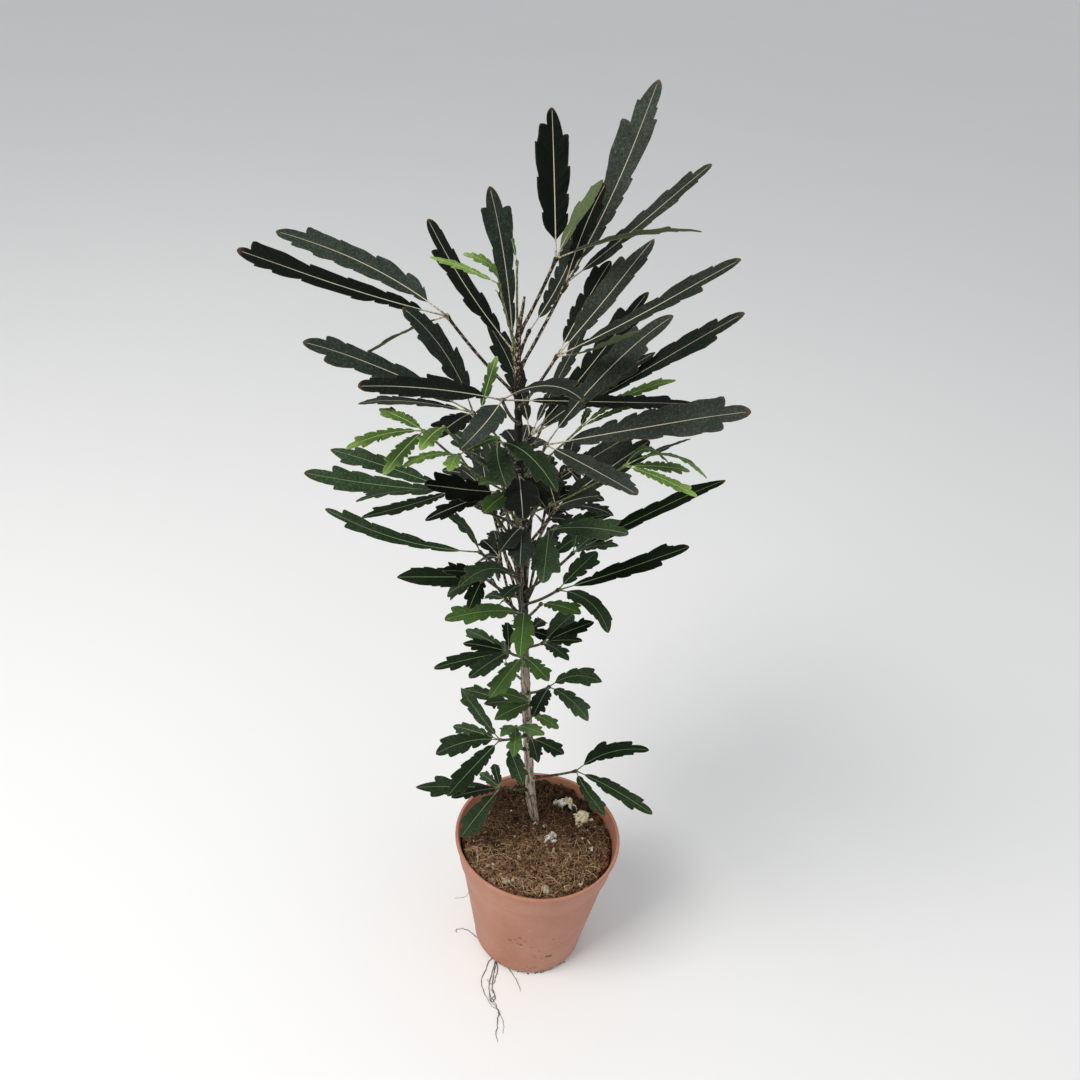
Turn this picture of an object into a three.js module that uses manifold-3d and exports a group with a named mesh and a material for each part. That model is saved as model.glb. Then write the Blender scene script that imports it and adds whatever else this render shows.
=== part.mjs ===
// A young false aralia in a plastic nursery pot: one stem, its palmate leaves, the soil and the pot.
// Millimetres, +Z up, origin under the middle of the pot's base.
import * as THREE from 'three';
import { mergeVertices } from 'three/addons/utils/BufferGeometryUtils.js';
import Module from 'manifold-3d';

const wasm = await Module();
wasm.setup();

// Pot
const POT_RADIUS = 60;
const POT_HEIGHT = 111;
const BASE_RADIUS = 39;
const WALL = 1.6;
const LIP = 2.4;
const COLLAR_BOTTOM = 89;
const COLLAR_STEP = 1.5;
const LIP_BAND = 3;
const LIP_STEP = 1.2;
const BEVEL = 1;
const BASE_ROUND = 7;
const WALL_FOOT = BASE_RADIUS + 2;
const WALL_SLOPE = 0.167;
const FLOOR = 2;
const DRAIN_HOLES = 6;
const DRAIN_RADIUS = 3.5;
const DRAIN_CIRCLE = 23;
const DRAIN_SIDES = 8;
const POT_SIDES = 24;

// Soil
const GAP = 0.3;
const SOIL_TOP = 104;
const SOIL_SLOPE = 0.045;
const SOIL_ROUGH = 1.3;
const SOIL_RINGS = 4;
const SOIL_LOWEST = SOIL_TOP - SOIL_SLOPE * POT_RADIUS - 2 * SOIL_ROUGH;

// Stem: its axis from the bottom of its hole to the tip, and its radius at each of these points.
// It stands this far behind the pot's axis, and has a second root strand at its foot.
const STEM_DEPTH = 18;
const STEM_AXIS = [
  { x: 2, z: 62, radius: 2.4 },
  { x: -1, z: 100, radius: 2.5 },
  { x: -4, z: 110, radius: 3.2 },
  { x: -7, z: 124, radius: 3.6 },
  { x: -10, z: 150, radius: 3.3 },
  { x: -21, z: 258, radius: 3.0 },
  { x: -30, z: 358, radius: 2.6 },
  { x: -36, z: 426, radius: 2.2 },
  { x: -41, z: 486, radius: 1.7 },
  { x: -38, z: 510, radius: 0.6 },
];
const STEM_SIDES = 7;
const STEM_STEPS = 24;
const STEM_KNOTS = 0.35;
const STEM_KNOT_RATE = 0.29;
const ROOT_STRAND = [
  { x: -6, y: 17, z: 130, radius: 1.3 },
  { x: -2, y: 15.5, z: 112, radius: 1.6 },
  { x: 1, y: 15, z: 84, radius: 1.5 },
];
const STRAND_SIDES = 6;
const STRAND_STEPS = 4;

// Leaves
const PETIOLE_RADIUS = 0.95;
const SHEATH_RADIUS = 1.5;
const SHEATH_SHARE = 0.2;
const HUB_RADIUS = 1.5;
const PETIOLE_SIDES = 4;
const PETIOLE_STEPS = 3;
const PETIOLE_SAG = 0.06;
const LOBED_FROM = 15;
const NARROW_TO = 7;
const BLADE = 0.8;
const RIB = 0.9;
const RIB_TAPER = 0.7;
const RIDGE = 0.22;
const STALK_WIDTH = 1.7;
const STALK_SHARE = 0.14;
const FOLD = 0.14;
const ARCH = 2;
const LIGHT = new THREE.Vector3(0, -0.5, 0.87).normalize();

// Room cut for the stem beside each leaf: a plain stretch, but the whole stem near its bent tip
const ROOM_BELOW = 8;
const ROOM_ABOVE = 16;
const BENT_FROM = 446;

// Outlines of a leaflet beyond its stalk. Each row is one line across it: how far along the midrib
// the line starts, then how far along and how far out its left end and its right end lie, as shares
// of length and half width. Teeth and lobes lean forward, so a line's ends run ahead of its middle.
const OUTLINES = {
  lobed: [
    [0.35, 0.38, 0.72, 0.34, 0.55],
    [0.54, 0.53, 0.7, 0.6, 0.96],
    [0.74, 0.84, 1.0, 0.72, 0.84],
    [0.82, 0.84, 0.5, 0.88, 1.0],
    [0.88, 0.91, 0.5, 0.87, 0.48],
  ],
  toothed: [
    [0.38, 0.4, 0.84, 0.36, 0.66],
    [0.6, 0.72, 1.0, 0.56, 0.92],
    [0.76, 0.76, 0.62, 0.84, 0.78],
  ],
  narrow: [
    [0.5, 0.52, 0.9, 0.47, 0.8],
    [0.78, 0.8, 0.9, 0.76, 1.0],
  ],
};

// The view that leaf places are read in: pixels across and down a square picture of the plant,
// and millimetres behind the pot's axis.
const VIEW = {
  focal: 1083,
  centre: 540,
  eye: new THREE.Vector3(-18, -542, 723),
  pitch: THREE.MathUtils.degToRad(33.4),
  roll: THREE.MathUtils.degToRad(5.26),
};

// Every leaf, roughly from the top down: its height on the stem, its hub, where the leaflets meet,
// and its leaflets. A hub is across, down, depth. A leaflet is the same for its tip, then its width in
// millimetres, and where it needs them its bend up or down along its face, its roll in degrees,
// and its arch in millimetres.
const LEAVES = [
  { at: 487, hub: [556, 259, -8], tone: 'dark', leaflets: [
    [552, 107, 22, 17], [604, 180, -20, 9, 0, 180, -2], [702, 230, -34, 13, 0, 118, -4],
    [599, 190, 110, 8]] },
  { at: 484, hub: [517, 262, 66], tone: 'young', leaflets: [
    [504, 214, 86, 4]] },
  { at: 477, hub: [499, 284, 12], tone: 'young', leaflets: [
    [463, 254, 2, 7, 0, 0, 6], [430, 257, 30, 5]] },
  { at: 474, hub: [529, 331, 34], tone: 'dark', leaflets: [
    [582, 224, 84, 14, -4]] },
  { at: 465, hub: [566, 283, 20], tone: 'grey', leaflets: [
    [658, 78, 48, 18, -4], [605, 183, 0, 13], [711, 163, 10, 12, -3]] },
  { at: 458, hub: [513, 350, 29], tone: 'dark', leaflets: [
    [428, 218, 70, 16, -4], [490, 186, 44, 16, 2], [497, 289, 96, 9, 0, -60]] },
  { at: 450, hub: [447, 316, -8], tone: 'dark', leaflets: [
    [276, 232, 12, 18, 5], [237, 248, -32, 16, -3.5, 10], [353, 364, -36, 12, -4, -60]] },
  { at: 442, hub: [557, 356, -12], tone: 'grey', leaflets: [
    [611, 260, 34, 13], [653, 238, -4, 15, -2], [740, 258, -42, 15, -4], [640, 327, -78, 13, 0, -75, -3]] },
  { at: 433, hub: [502, 400, -47], tone: 'dark', leaflets: [
    [358, 386, -76, 17, 1], [582, 398, -112, 15, 5, 0, 4], [460, 450, -94, 16, -2],
    [698, 404, 36, 12, -2, -30]] },
  { at: 418, hub: [530, 436, 36], tone: 'dark', leaflets: [
    [487, 322, 66, 14, 4], [588, 322, 80, 9], [647, 291, 48, 16, -3], [744, 312, 12, 18, -2],
    [655, 352, 20, 13]] },
  { at: 408, hub: [480, 413, -14], tone: 'young', leaflets: [
    [497, 356, 0, 7]] },
  { at: 402, hub: [473, 413, -38], tone: 'dark', leaflets: [
    [405, 308, -62, 18, 4], [303, 341, -44, 18, 2], [358, 402, -48, 10, 2, -30], [436, 438, -84, 14]] },
  { at: 396, hub: [580, 428, 30], tone: 'young', leaflets: [
    [676, 380, 38, 7, 4], [640, 402, 42, 4], [590, 408, 50, 5]] },
  { at: 388, hub: [546, 445, -26], tone: 'grey', leaflets: [
    [671, 315, -46, 18, 3], [751, 410, -40, 22, -1], [637, 494, -96, 17, -1]] },
  { at: 382, hub: [424, 431, -56], tone: 'young', leaflets: [
    [379, 409, -44, 7], [396, 415, -28, 6], [346, 449, -86, 7, 2], [384, 474, -112, 10]] },
  { at: 391, hub: [444, 427, -96], tone: 'young', leaflets: [
    [420, 449, -124, 9]] },
  { at: 367, hub: [459, 455, -62], tone: 'young', leaflets: [
    [403, 467, -98, 6, 2], [500, 437, -34, 6], [449, 471, -92, 8]] },
  { at: 374, hub: [498, 442, -50], tone: 'mid', leaflets: [
    [557, 491, -100, 12, 2, 0, 6], [507, 487, -92, 14, -2]] },
  { at: 370, hub: [625, 466, -34], tone: 'young', leaflets: [
    [707, 479, -44, 6, 3, -40, 9], [697, 496, -74, 7], [690, 471, -14, 8], [672, 468, 6, 6, 8, 0, 6]] },
  { at: 364, hub: [452, 491, -36], tone: 'mid', leaflets: [
    [330, 449, -26, 12], [304, 473, -62, 18, -3], [356, 499, -86, 8, 0, -40], [362, 517, -110, 9, -3]] },
  { at: 360, hub: [508, 484, 72], tone: 'dark', leaflets: [
    [448, 428, 118, 14], [478, 456, 150, 14], [442, 470, 90, 12]] },
  { at: 356, hub: [546, 488, 72], tone: 'dark', leaflets: [
    [590, 458, 134, 14], [640, 430, 92, 14], [604, 500, 40, 12]] },
  { at: 354, hub: [498, 492, -54], tone: 'dark', leaflets: [
    [425, 484, -86, 17, -2.5], [425, 520, -76, 9]] },
  { at: 339, hub: [514, 492, -44], tone: 'light', leaflets: [
    [480, 482, -104, 11], [484, 512, -100, 12]] },
  { at: 344, hub: [556, 508, 0], tone: 'dark', leaflets: [
    [650, 441, 8, 16], [690, 437, 34, 9, 0, -50], [600, 496, -26, 18], [613, 515, -62, 8, 2],
    [546, 476, 40, 13]] },
  { at: 358, hub: [519, 476, -60], tone: 'dark', leaflets: [
    [523, 519, -114, 19], [546, 508, -94, 13]] },
  { at: 334, hub: [549, 530, -42], tone: 'mid', leaflets: [
    [628, 534, -86, 15, 1], [612, 514, -26, 9], [543, 583, -92, 16]] },
  { at: 326, hub: [480, 552, -40], tone: 'mid', leaflets: [
    [325, 508, -36, 13, -7], [449, 515, -68, 12, 1]] },
  { at: 322, hub: [498, 520, 74], tone: 'dark', leaflets: [
    [456, 486, 118, 13], [482, 498, 150, 12], [518, 500, 140, 12]] },
  { at: 318, hub: [522, 527, -44], tone: 'dark', leaflets: [
    [520, 567, -92, 14], [500, 552, -84, 12]] },
  { at: 312, hub: [573, 553, -6], tone: 'mid', leaflets: [
    [724, 479, -30, 11], [618, 545, -40, 8], [597, 534, 30, 8], [580, 518, 50, 8]] },
  { at: 308, hub: [484, 577, -44], tone: 'mid', leaflets: [
    [397, 577, -60, 14, -1], [443, 571, -70, 12], [447, 595, -34, 12], [469, 609, -70, 11]] },
  { at: 303, hub: [558, 590, -18], tone: 'mid', leaflets: [
    [689, 546, -20, 14, -2], [608, 632, -66, 13, 6], [597, 552, 20, 13]] },
  { at: 299, hub: [544, 562, 66], tone: 'mid', leaflets: [
    [590, 528, 108, 12], [556, 524, 132, 11]] },
  { at: 297, hub: [521, 586, -28], tone: 'mid', leaflets: [
    [459, 587, -86, 13, 6, 0, 8], [502, 598, -70, 9]] },
  { at: 292, hub: [492, 580, 56], tone: 'mid', leaflets: [
    [452, 582, 92, 11], [486, 560, 116, 11]] },
  { at: 291, hub: [541, 604, -8], tone: 'light', leaflets: [
    [580, 613, -46, 11]] },
  { at: 286, hub: [524, 613, -26], tone: 'light', leaflets: [
    [445, 620, -70, 13, 2], [520, 658, -78, 14, 0, 0, 6]] },
  { at: 268, hub: [543, 643, 0], tone: 'mid', leaflets: [
    [573, 614, 30, 14], [594, 622, 4, 10], [582, 641, -22, 9], [568, 659, -40, 10]] },
  { at: 261, hub: [509, 652, -24], tone: 'mid', leaflets: [
    [463, 643, -24, 9], [466, 630, 8, 9], [434, 668, -50, 10], [470, 677, -76, 12], [507, 622, 18, 8]] },
  { at: 253, hub: [523, 656, -20], tone: 'light', leaflets: [
    [490, 698, -76, 12], [549, 681, -56, 11]] },
  { at: 238, hub: [506, 664, 62], tone: 'mid', leaflets: [
    [478, 650, 92, 10], [504, 640, 108, 10]] },
  { at: 228, hub: [549, 687, -12], tone: 'mid', leaflets: [
    [602, 682, -15, 12, 5], [588, 720, -50, 12, 2], [533, 716, -60, 12]] },
  { at: 216, hub: [531, 703, -10], tone: 'light', leaflets: [
    [499, 693, -32, 10], [495, 719, -56, 12]] },
  { at: 210, hub: [512, 703, 26], tone: 'mid', leaflets: [
    [463, 689, 34, 10], [484, 704, 4, 9]] },
  { at: 204, hub: [533, 715, -2], tone: 'light', leaflets: [
    [558, 728, -30, 9]] },
  { at: 197, hub: [516, 727, -22], tone: 'light', leaflets: [
    [544, 735, -60, 10], [514, 756, -74, 10], [501, 735, -60, 8]] },
  { at: 190, hub: [500, 740, -20], tone: 'mid', leaflets: [
    [461, 688, -10, 10, 0, 30], [453, 726, 6, 9], [436, 754, -46, 14, 3], [448, 795, -80, 13]] },
  { at: 184, hub: [531, 738, -4], tone: 'mid', leaflets: [
    [564, 754, -20, 10], [538, 762, -40, 9]] },
  { at: 176, hub: [508, 746, 2], tone: 'mid', leaflets: [
    [523, 785, -34, 13]] },
  { at: 148, hub: [576, 771, 10], tone: 'mid', leaflets: [
    [649, 750, 10, 13, 5.5], [652, 814, -46, 13, 1], [605, 815, -32, 10, -2]] },
  { at: 136, hub: [500, 788, -4], tone: 'mid', leaflets: [
    [416, 787, -26, 12], [452, 797, -50, 9], [494, 764, 20, 7], [480, 773, 4, 8], [461, 837, -14, 16]] },
];

const finish = (color, roughness) => new THREE.MeshStandardMaterial({ color, roughness, metalness: 0 });
const MATERIALS = {
  pot: finish('#b8806a', 0.55),
  soil: finish('#5a4030', 0.95),
  bark: finish('#8a8070', 0.8),
  dark: finish('#26352c', 0.5),
  grey: finish('#3f4f4b', 0.5),
  mid: finish('#3b5a35', 0.5),
  light: finish('#5f8a44', 0.5),
  young: finish('#8fae45', 0.5),
};

const part = new THREE.Group();

function addMesh(name, geometry, material) {
  const mesh = new THREE.Mesh(geometry, material);
  mesh.name = name;
  part.add(mesh);
}

// Solids, joined and cut
function solidOf(geometry) {
  const bare = geometry.clone();
  for (const attribute of Object.keys(bare.attributes)) {
    if (attribute !== 'position') bare.deleteAttribute(attribute);
  }
  const merged = mergeVertices(bare, 1e-3);
  const corners = merged.index.array;
  const faces = [];
  for (let corner = 0; corner < corners.length; corner += 3) {
    const [a, b, c] = corners.slice(corner, corner + 3);
    if (a !== b && b !== c && c !== a) faces.push(a, b, c);
  }
  return new wasm.Manifold(new wasm.Mesh({
    numProp: 3,
    vertProperties: new Float32Array(merged.attributes.position.array),
    triVerts: new Uint32Array(faces),
  }));
}

function geometryOf(solid) {
  const mesh = solid.getMesh();
  const geometry = new THREE.BufferGeometry();
  geometry.setAttribute('position', new THREE.BufferAttribute(mesh.vertProperties, 3));
  geometry.setIndex(new THREE.BufferAttribute(mesh.triVerts, 1));
  geometry.computeVertexNormals();
  return geometry;
}

// A closed skin over rings of points, which run counterclockwise seen from the last ring.
// The second half of each ring is split the other way, so the two faces of a blade match.
function skin(rings) {
  const count = rings[0].length;
  const points = rings.flat();
  const faces = [];
  for (let row = 0; row + 1 < rings.length; row += 1) {
    for (let column = 0; column < count; column += 1) {
      const a = row * count + column;
      const b = row * count + ((column + 1) % count);
      const c = a + count;
      const d = b + count;
      if (column < count / 2) faces.push(a, b, d, a, d, c);
      else faces.push(a, b, c, b, d, c);
    }
  }
  const last = (rings.length - 1) * count;
  for (let column = 1; column + 1 < count; column += 1) {
    faces.push(0, column + 1, column);
    faces.push(last, last + column, last + column + 1);
  }
  const geometry = new THREE.BufferGeometry();
  geometry.setAttribute('position', new THREE.Float32BufferAttribute(points.flatMap((p) => p.toArray()), 3));
  geometry.setIndex(faces);
  return geometry;
}

// A round limb along a curve, with a radius for each share of its length
function limb(curve, radiusAt, sides, steps) {
  const chord = curve.getPoint(1).sub(curve.getPoint(0)).normalize();
  const reference = Math.abs(chord.z) > 0.8 ? new THREE.Vector3(0, 1, 0) : new THREE.Vector3(0, 0, 1);
  const rings = [];
  for (let step = 0; step <= steps; step += 1) {
    const share = step / steps;
    const centre = curve.getPoint(share);
    const forward = curve.getTangent(share);
    const side = reference.clone().cross(forward).normalize();
    const up = forward.clone().cross(side);
    const ring = [];
    for (let corner = 0; corner < sides; corner += 1) {
      const angle = (corner / sides) * 2 * Math.PI;
      const radius = radiusAt(share);
      ring.push(centre.clone()
        .addScaledVector(side, radius * Math.cos(angle))
        .addScaledVector(up, radius * Math.sin(angle)));
    }
    rings.push(ring);
  }
  return skin(rings);
}

// Where a place in the view lies, at a depth behind the pot's axis
function place([across, down, depth]) {
  const { focal, centre, eye, pitch, roll } = VIEW;
  const ahead = new THREE.Vector3(0, Math.cos(pitch), -Math.sin(pitch));
  const level = new THREE.Vector3(1, 0, 0);
  const upright = level.clone().cross(ahead);
  const right = level.clone().multiplyScalar(Math.cos(roll)).addScaledVector(upright, Math.sin(roll));
  const top = upright.clone().multiplyScalar(Math.cos(roll)).addScaledVector(level, -Math.sin(roll));
  const ray = ahead.clone()
    .addScaledVector(right, (across - centre) / focal)
    .addScaledVector(top, (centre - down) / focal);
  return eye.clone().addScaledVector(ray, (depth - eye.y) / ray.y);
}

// Pot: a tapered wall under a collar with a thin lip, and drain holes round the middle of its base
const wallRadius = (z) => WALL_FOOT + (z - BASE_ROUND) * WALL_SLOPE;

function potSolid() {
  const flatRadius = BASE_RADIUS - BASE_ROUND;
  const profile = [[0, 0], [flatRadius, 0]];
  for (const turn of [Math.PI / 4, Math.PI / 2]) {
    profile.push([
      flatRadius + (WALL_FOOT - flatRadius) * Math.sin(turn),
      BASE_ROUND * (1 - Math.cos(turn)),
    ]);
  }
  profile.push([wallRadius(COLLAR_BOTTOM - BEVEL), COLLAR_BOTTOM - BEVEL]);
  profile.push([wallRadius(COLLAR_BOTTOM) + COLLAR_STEP, COLLAR_BOTTOM]);
  profile.push([POT_RADIUS - LIP_STEP, POT_HEIGHT - LIP_BAND - BEVEL]);
  profile.push([POT_RADIUS, POT_HEIGHT - LIP_BAND]);
  profile.push([POT_RADIUS, POT_HEIGHT - BEVEL]);
  profile.push([POT_RADIUS - LIP / 2, POT_HEIGHT]);
  profile.push([POT_RADIUS - LIP, POT_HEIGHT - BEVEL]);
  profile.push([wallRadius(COLLAR_BOTTOM) - WALL, COLLAR_BOTTOM]);
  profile.push([wallRadius(BASE_ROUND) - WALL, BASE_ROUND + FLOOR]);
  profile.push([flatRadius, FLOOR]);
  profile.push([0, FLOOR]);
  const points = profile.map(([radius, z]) => new THREE.Vector2(radius, z));
  const lathe = new THREE.LatheGeometry(points, POT_SIDES);
  lathe.rotateX(Math.PI / 2);
  let solid = solidOf(lathe);
  for (let hole = 0; hole < DRAIN_HOLES; hole += 1) {
    const angle = (hole / DRAIN_HOLES) * 2 * Math.PI;
    const drill = new THREE.CylinderGeometry(DRAIN_RADIUS, DRAIN_RADIUS, 4 * FLOOR, DRAIN_SIDES);
    drill.rotateX(Math.PI / 2);
    drill.translate(DRAIN_CIRCLE * Math.cos(angle), DRAIN_CIRCLE * Math.sin(angle), 0);
    solid = solid.subtract(solidOf(drill));
  }
  return solid;
}

// Soil: it fills the pot to a gap short of its wall, and its rough top falls away to the back
function insideRadius(z) {
  const low = wallRadius(BASE_ROUND) - WALL;
  const high = wallRadius(COLLAR_BOTTOM) - WALL;
  if (z < COLLAR_BOTTOM) {
    return THREE.MathUtils.mapLinear(z, BASE_ROUND + FLOOR, COLLAR_BOTTOM, low, high);
  }
  return THREE.MathUtils.mapLinear(z, COLLAR_BOTTOM, POT_HEIGHT - BEVEL, high, POT_RADIUS - LIP);
}

function soilHeight(x, y) {
  const lumps = Math.sin(x * 0.31 + 1) * Math.cos(y * 0.27) + 0.6 * Math.sin(x * 0.7 - y * 0.5);
  return SOIL_TOP - SOIL_SLOPE * y + SOIL_ROUGH * lumps;
}

function soilSolid() {
  const ring = (radius, heightAt) => {
    const points = [];
    for (let corner = 0; corner < POT_SIDES; corner += 1) {
      const angle = (corner / POT_SIDES) * 2 * Math.PI;
      const x = radius * Math.cos(angle);
      const y = radius * Math.sin(angle);
      points.push(new THREE.Vector3(x, y, heightAt(x, y)));
    }
    return points;
  };
  const rings = [];
  rings.push(ring(BASE_RADIUS - BASE_ROUND - GAP, () => FLOOR + GAP));
  for (const z of [BASE_ROUND + FLOOR + GAP, COLLAR_BOTTOM]) {
    rings.push(ring(insideRadius(z) - GAP, () => z));
  }
  const edge = insideRadius(SOIL_LOWEST) - GAP;
  for (let step = 0; step < SOIL_RINGS; step += 1) {
    rings.push(ring(edge * (1 - step / SOIL_RINGS), soilHeight));
  }
  return solidOf(skin(rings));
}

// Stem: a lean, tapering cane with low knots, and the root strand beside its foot
function stemSolid(spare) {
  const points = STEM_AXIS.map(({ x, z }) => new THREE.Vector3(x, STEM_DEPTH, z));
  const axis = new THREE.CatmullRomCurve3(points);
  const caneRadius = (share) => {
    const { z } = axis.getPoint(share);
    return stemRadius(z) + knotHeight(z) + spare;
  };
  const cane = limb(axis, caneRadius, STEM_SIDES, STEM_STEPS);
  const strandPoints = ROOT_STRAND.map(({ x, y, z }) => new THREE.Vector3(x, y, z));
  const strand = new THREE.CatmullRomCurve3(strandPoints);
  const strandRadius = (share) => alongList(ROOT_STRAND, share, 'radius') + spare;
  return solidOf(cane).add(solidOf(limb(strand, strandRadius, STRAND_SIDES, STRAND_STEPS)));
}

function alongList(list, share, key) {
  const spot = share * (list.length - 1);
  const index = Math.min(Math.floor(spot), list.length - 2);
  return THREE.MathUtils.lerp(list[index][key], list[index + 1][key], spot - index);
}

function stemRadius(z) {
  let index = STEM_AXIS.findIndex((point) => point.z > z) - 1;
  if (index < 0) index = z > STEM_AXIS[0].z ? STEM_AXIS.length - 2 : 0;
  const [low, high] = [STEM_AXIS[index], STEM_AXIS[index + 1]];
  return THREE.MathUtils.mapLinear(z, low.z, high.z, low.radius, high.radius);
}

const knotHeight = (z) => STEM_KNOTS * Math.max(0, Math.sin(z * STEM_KNOT_RATE));

function stemPoint(z) {
  const index = STEM_AXIS.findIndex((point) => point.z > z) - 1;
  const [low, high] = index < 0 ? STEM_AXIS.slice(-2) : STEM_AXIS.slice(index, index + 2);
  return new THREE.Vector3(THREE.MathUtils.mapLinear(z, low.z, high.z, low.x, high.x), STEM_DEPTH, z);
}

// A leaflet from the hub to its tip: a narrow stalk, then a blade over the lines of its outline.
// The midrib curves by the arch and the bend, and the blade's two halves fold up from it.
function leafletSolid(hub, [across, down, depth, width, bend = 0, roll = 0, arch = ARCH], mirrored) {
  const tip = place([across, down, depth]);
  const axis = tip.clone().sub(hub);
  const along = axis.clone().normalize();
  const flat = LIGHT.clone().addScaledVector(along, -LIGHT.dot(along)).normalize();
  const handed = Math.sign(along.x);
  const turn = THREE.MathUtils.degToRad(roll) * handed;
  const normal = flat.applyAxisAngle(along, turn);
  const side = normal.clone().cross(along);
  const centre = (share) => hub.clone()
    .addScaledVector(axis, share)
    .addScaledVector(normal, 4 * arch * share * (1 - share))
    .addScaledVector(side, handed * 4 * bend * share * (1 - share));
  const frame = (share) => {
    const forward = centre(share + 0.01).sub(centre(share - 0.01)).normalize();
    const up = normal.clone().addScaledVector(forward, -normal.dot(forward)).normalize();
    return { up, out: up.clone().cross(forward) };
  };
  const stalk = STALK_WIDTH / 2;
  const end = (share, reach, sign) => {
    const { up, out } = frame(share);
    const half = stalk + reach * (width / 2 - stalk);
    const point = centre(share).addScaledVector(out, sign * half).addScaledVector(up, FOLD * (half - stalk));
    return [point.clone().addScaledVector(up, BLADE / 2), point.addScaledVector(up, -BLADE / 2)];
  };
  const rows = width >= LOBED_FROM ? OUTLINES.lobed : OUTLINES[width > NARROW_TO ? 'toothed' : 'narrow'];
  const spine = (share) => {
    const { up } = frame(share);
    const taper = 1 - RIB_TAPER * share;
    return [
      centre(share).addScaledVector(up, BLADE / 2 + RIDGE * taper),
      centre(share).addScaledVector(up, -BLADE / 2 - RIB * taper),
    ];
  };
  const stalkRing = (share) => {
    const { out } = frame(share);
    const left = centre(share).addScaledVector(out, stalk);
    const right = centre(share).addScaledVector(out, -stalk);
    const [top, bottom] = spine(share);
    return [left, top, right, right, bottom, left];
  };
  const rings = rows.map((row) => {
    const [middle] = row;
    const [leftAlong, left, rightAlong, right] = mirrored ? [row[3], row[4], row[1], row[2]] : row.slice(1);
    const [leftTop, leftBottom] = end(leftAlong, left, 1);
    const [rightTop, rightBottom] = end(rightAlong, right, -1);
    const [top, bottom] = spine(middle);
    return [leftTop, top, rightTop, rightBottom, bottom, leftBottom];
  });
  rings.unshift(stalkRing(0), stalkRing(STALK_SHARE));
  const [tipTop, tipBottom] = spine(1);
  rings.push([tipTop, tipTop, tipTop, tipBottom, tipBottom, tipBottom]);
  return solidOf(skin(rings));
}

// The room that one leaf leaves for the stem, with a gap all round
function stemRoom(at) {
  if (at > BENT_FROM) return stemSolid(GAP);
  const stretch = new THREE.LineCurve3(stemPoint(at - ROOM_BELOW), stemPoint(at + ROOM_ABOVE));
  const radius = stemRadius(at) + STEM_KNOTS + GAP;
  return solidOf(limb(stretch, () => radius, STEM_SIDES, 1));
}

// A compound leaf: a petiole with a sheath at the stem, a knob at the hub, and the leaflets
function leafSolid({ at, hub, leaflets }) {
  const start = stemPoint(at);
  const middle = place(hub);
  const reach = middle.clone().sub(start);
  const control = start.clone().addScaledVector(reach, 0.5);
  control.z -= PETIOLE_SAG * reach.length();
  const curve = new THREE.QuadraticBezierCurve3(start, control, middle);
  const radiusAt = (share) => (share < SHEATH_SHARE ? SHEATH_RADIUS : PETIOLE_RADIUS);
  let solid = solidOf(limb(curve, radiusAt, PETIOLE_SIDES, PETIOLE_STEPS));
  solid = solid.subtract(stemRoom(at));
  const knob = new THREE.OctahedronGeometry(HUB_RADIUS).translate(middle.x, middle.y, middle.z);
  solid = solid.add(solidOf(knob));
  leaflets.forEach((leaflet, index) => {
    solid = solid.add(leafletSolid(middle, leaflet, index % 2 === 1));
  });
  return solid;
}

addMesh('pot', geometryOf(potSolid()), MATERIALS.pot);
addMesh('soil', geometryOf(soilSolid().subtract(stemSolid(GAP))), MATERIALS.soil);
addMesh('stem', geometryOf(stemSolid(0)), MATERIALS.bark);
LEAVES.forEach((leaf, index) => {
  const name = `leaf_${String(index + 1).padStart(2, '0')}`;
  addMesh(name, geometryOf(leafSolid(leaf)), MATERIALS[leaf.tone]);
});

export default part;
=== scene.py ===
# A young false aralia in its nursery pot: fine leaves, stem, pot, soil and roots around the packed
# frame, with materials, floor, light and camera. Lengths are in millimetres until a mesh is made.
import math

import bpy
import numpy as np
from mathutils import Matrix, Vector


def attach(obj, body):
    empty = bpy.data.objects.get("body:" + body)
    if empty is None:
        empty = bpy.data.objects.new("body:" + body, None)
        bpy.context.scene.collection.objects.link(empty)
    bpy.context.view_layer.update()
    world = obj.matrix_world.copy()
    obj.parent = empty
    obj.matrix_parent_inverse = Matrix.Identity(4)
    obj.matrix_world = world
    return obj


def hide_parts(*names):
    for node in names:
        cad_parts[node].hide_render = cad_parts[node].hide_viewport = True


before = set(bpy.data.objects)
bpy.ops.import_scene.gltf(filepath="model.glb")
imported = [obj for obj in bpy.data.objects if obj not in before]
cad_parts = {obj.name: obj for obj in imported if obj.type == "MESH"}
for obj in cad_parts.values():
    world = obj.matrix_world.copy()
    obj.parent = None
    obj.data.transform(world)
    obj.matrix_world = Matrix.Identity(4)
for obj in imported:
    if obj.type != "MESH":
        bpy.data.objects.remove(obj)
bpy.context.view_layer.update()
MM = 0.001
SEED = 20
NOISE_CELLS = 64

# Pot, as in the frame
POT_RADIUS = 60
POT_HEIGHT = 111
BASE_RADIUS = 39
BASE_ROUND = 7
WALL_FOOT = BASE_RADIUS + 2
WALL_SLOPE = 0.167
WALL = 1.6
LIP = 2.4
LIP_BAND = 3
LIP_STEP = 1.2
COLLAR_BOTTOM = 89
COLLAR_STEP = 1.5
FLOOR = 2
DRAIN_HOLES = 6
DRAIN_RADIUS = 3.5
DRAIN_CIRCLE = 23
DRAIN_SIDES = 24
DRILL_ENDS = (-4, 6)
POT_SIDES = 144
AXIS_GAP = 0.01

# Soil
SOIL_GAP = 0.3
SOIL_TOP = 104
SOIL_SLOPE = 0.045
SOIL_ROUGH = 1.3
SOIL_SLACK = 0.3
SOIL_SIDES = 264
SOIL_ROWS = 75
SOIL_REACH = 52.5
SOIL_FRONT = 26
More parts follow.
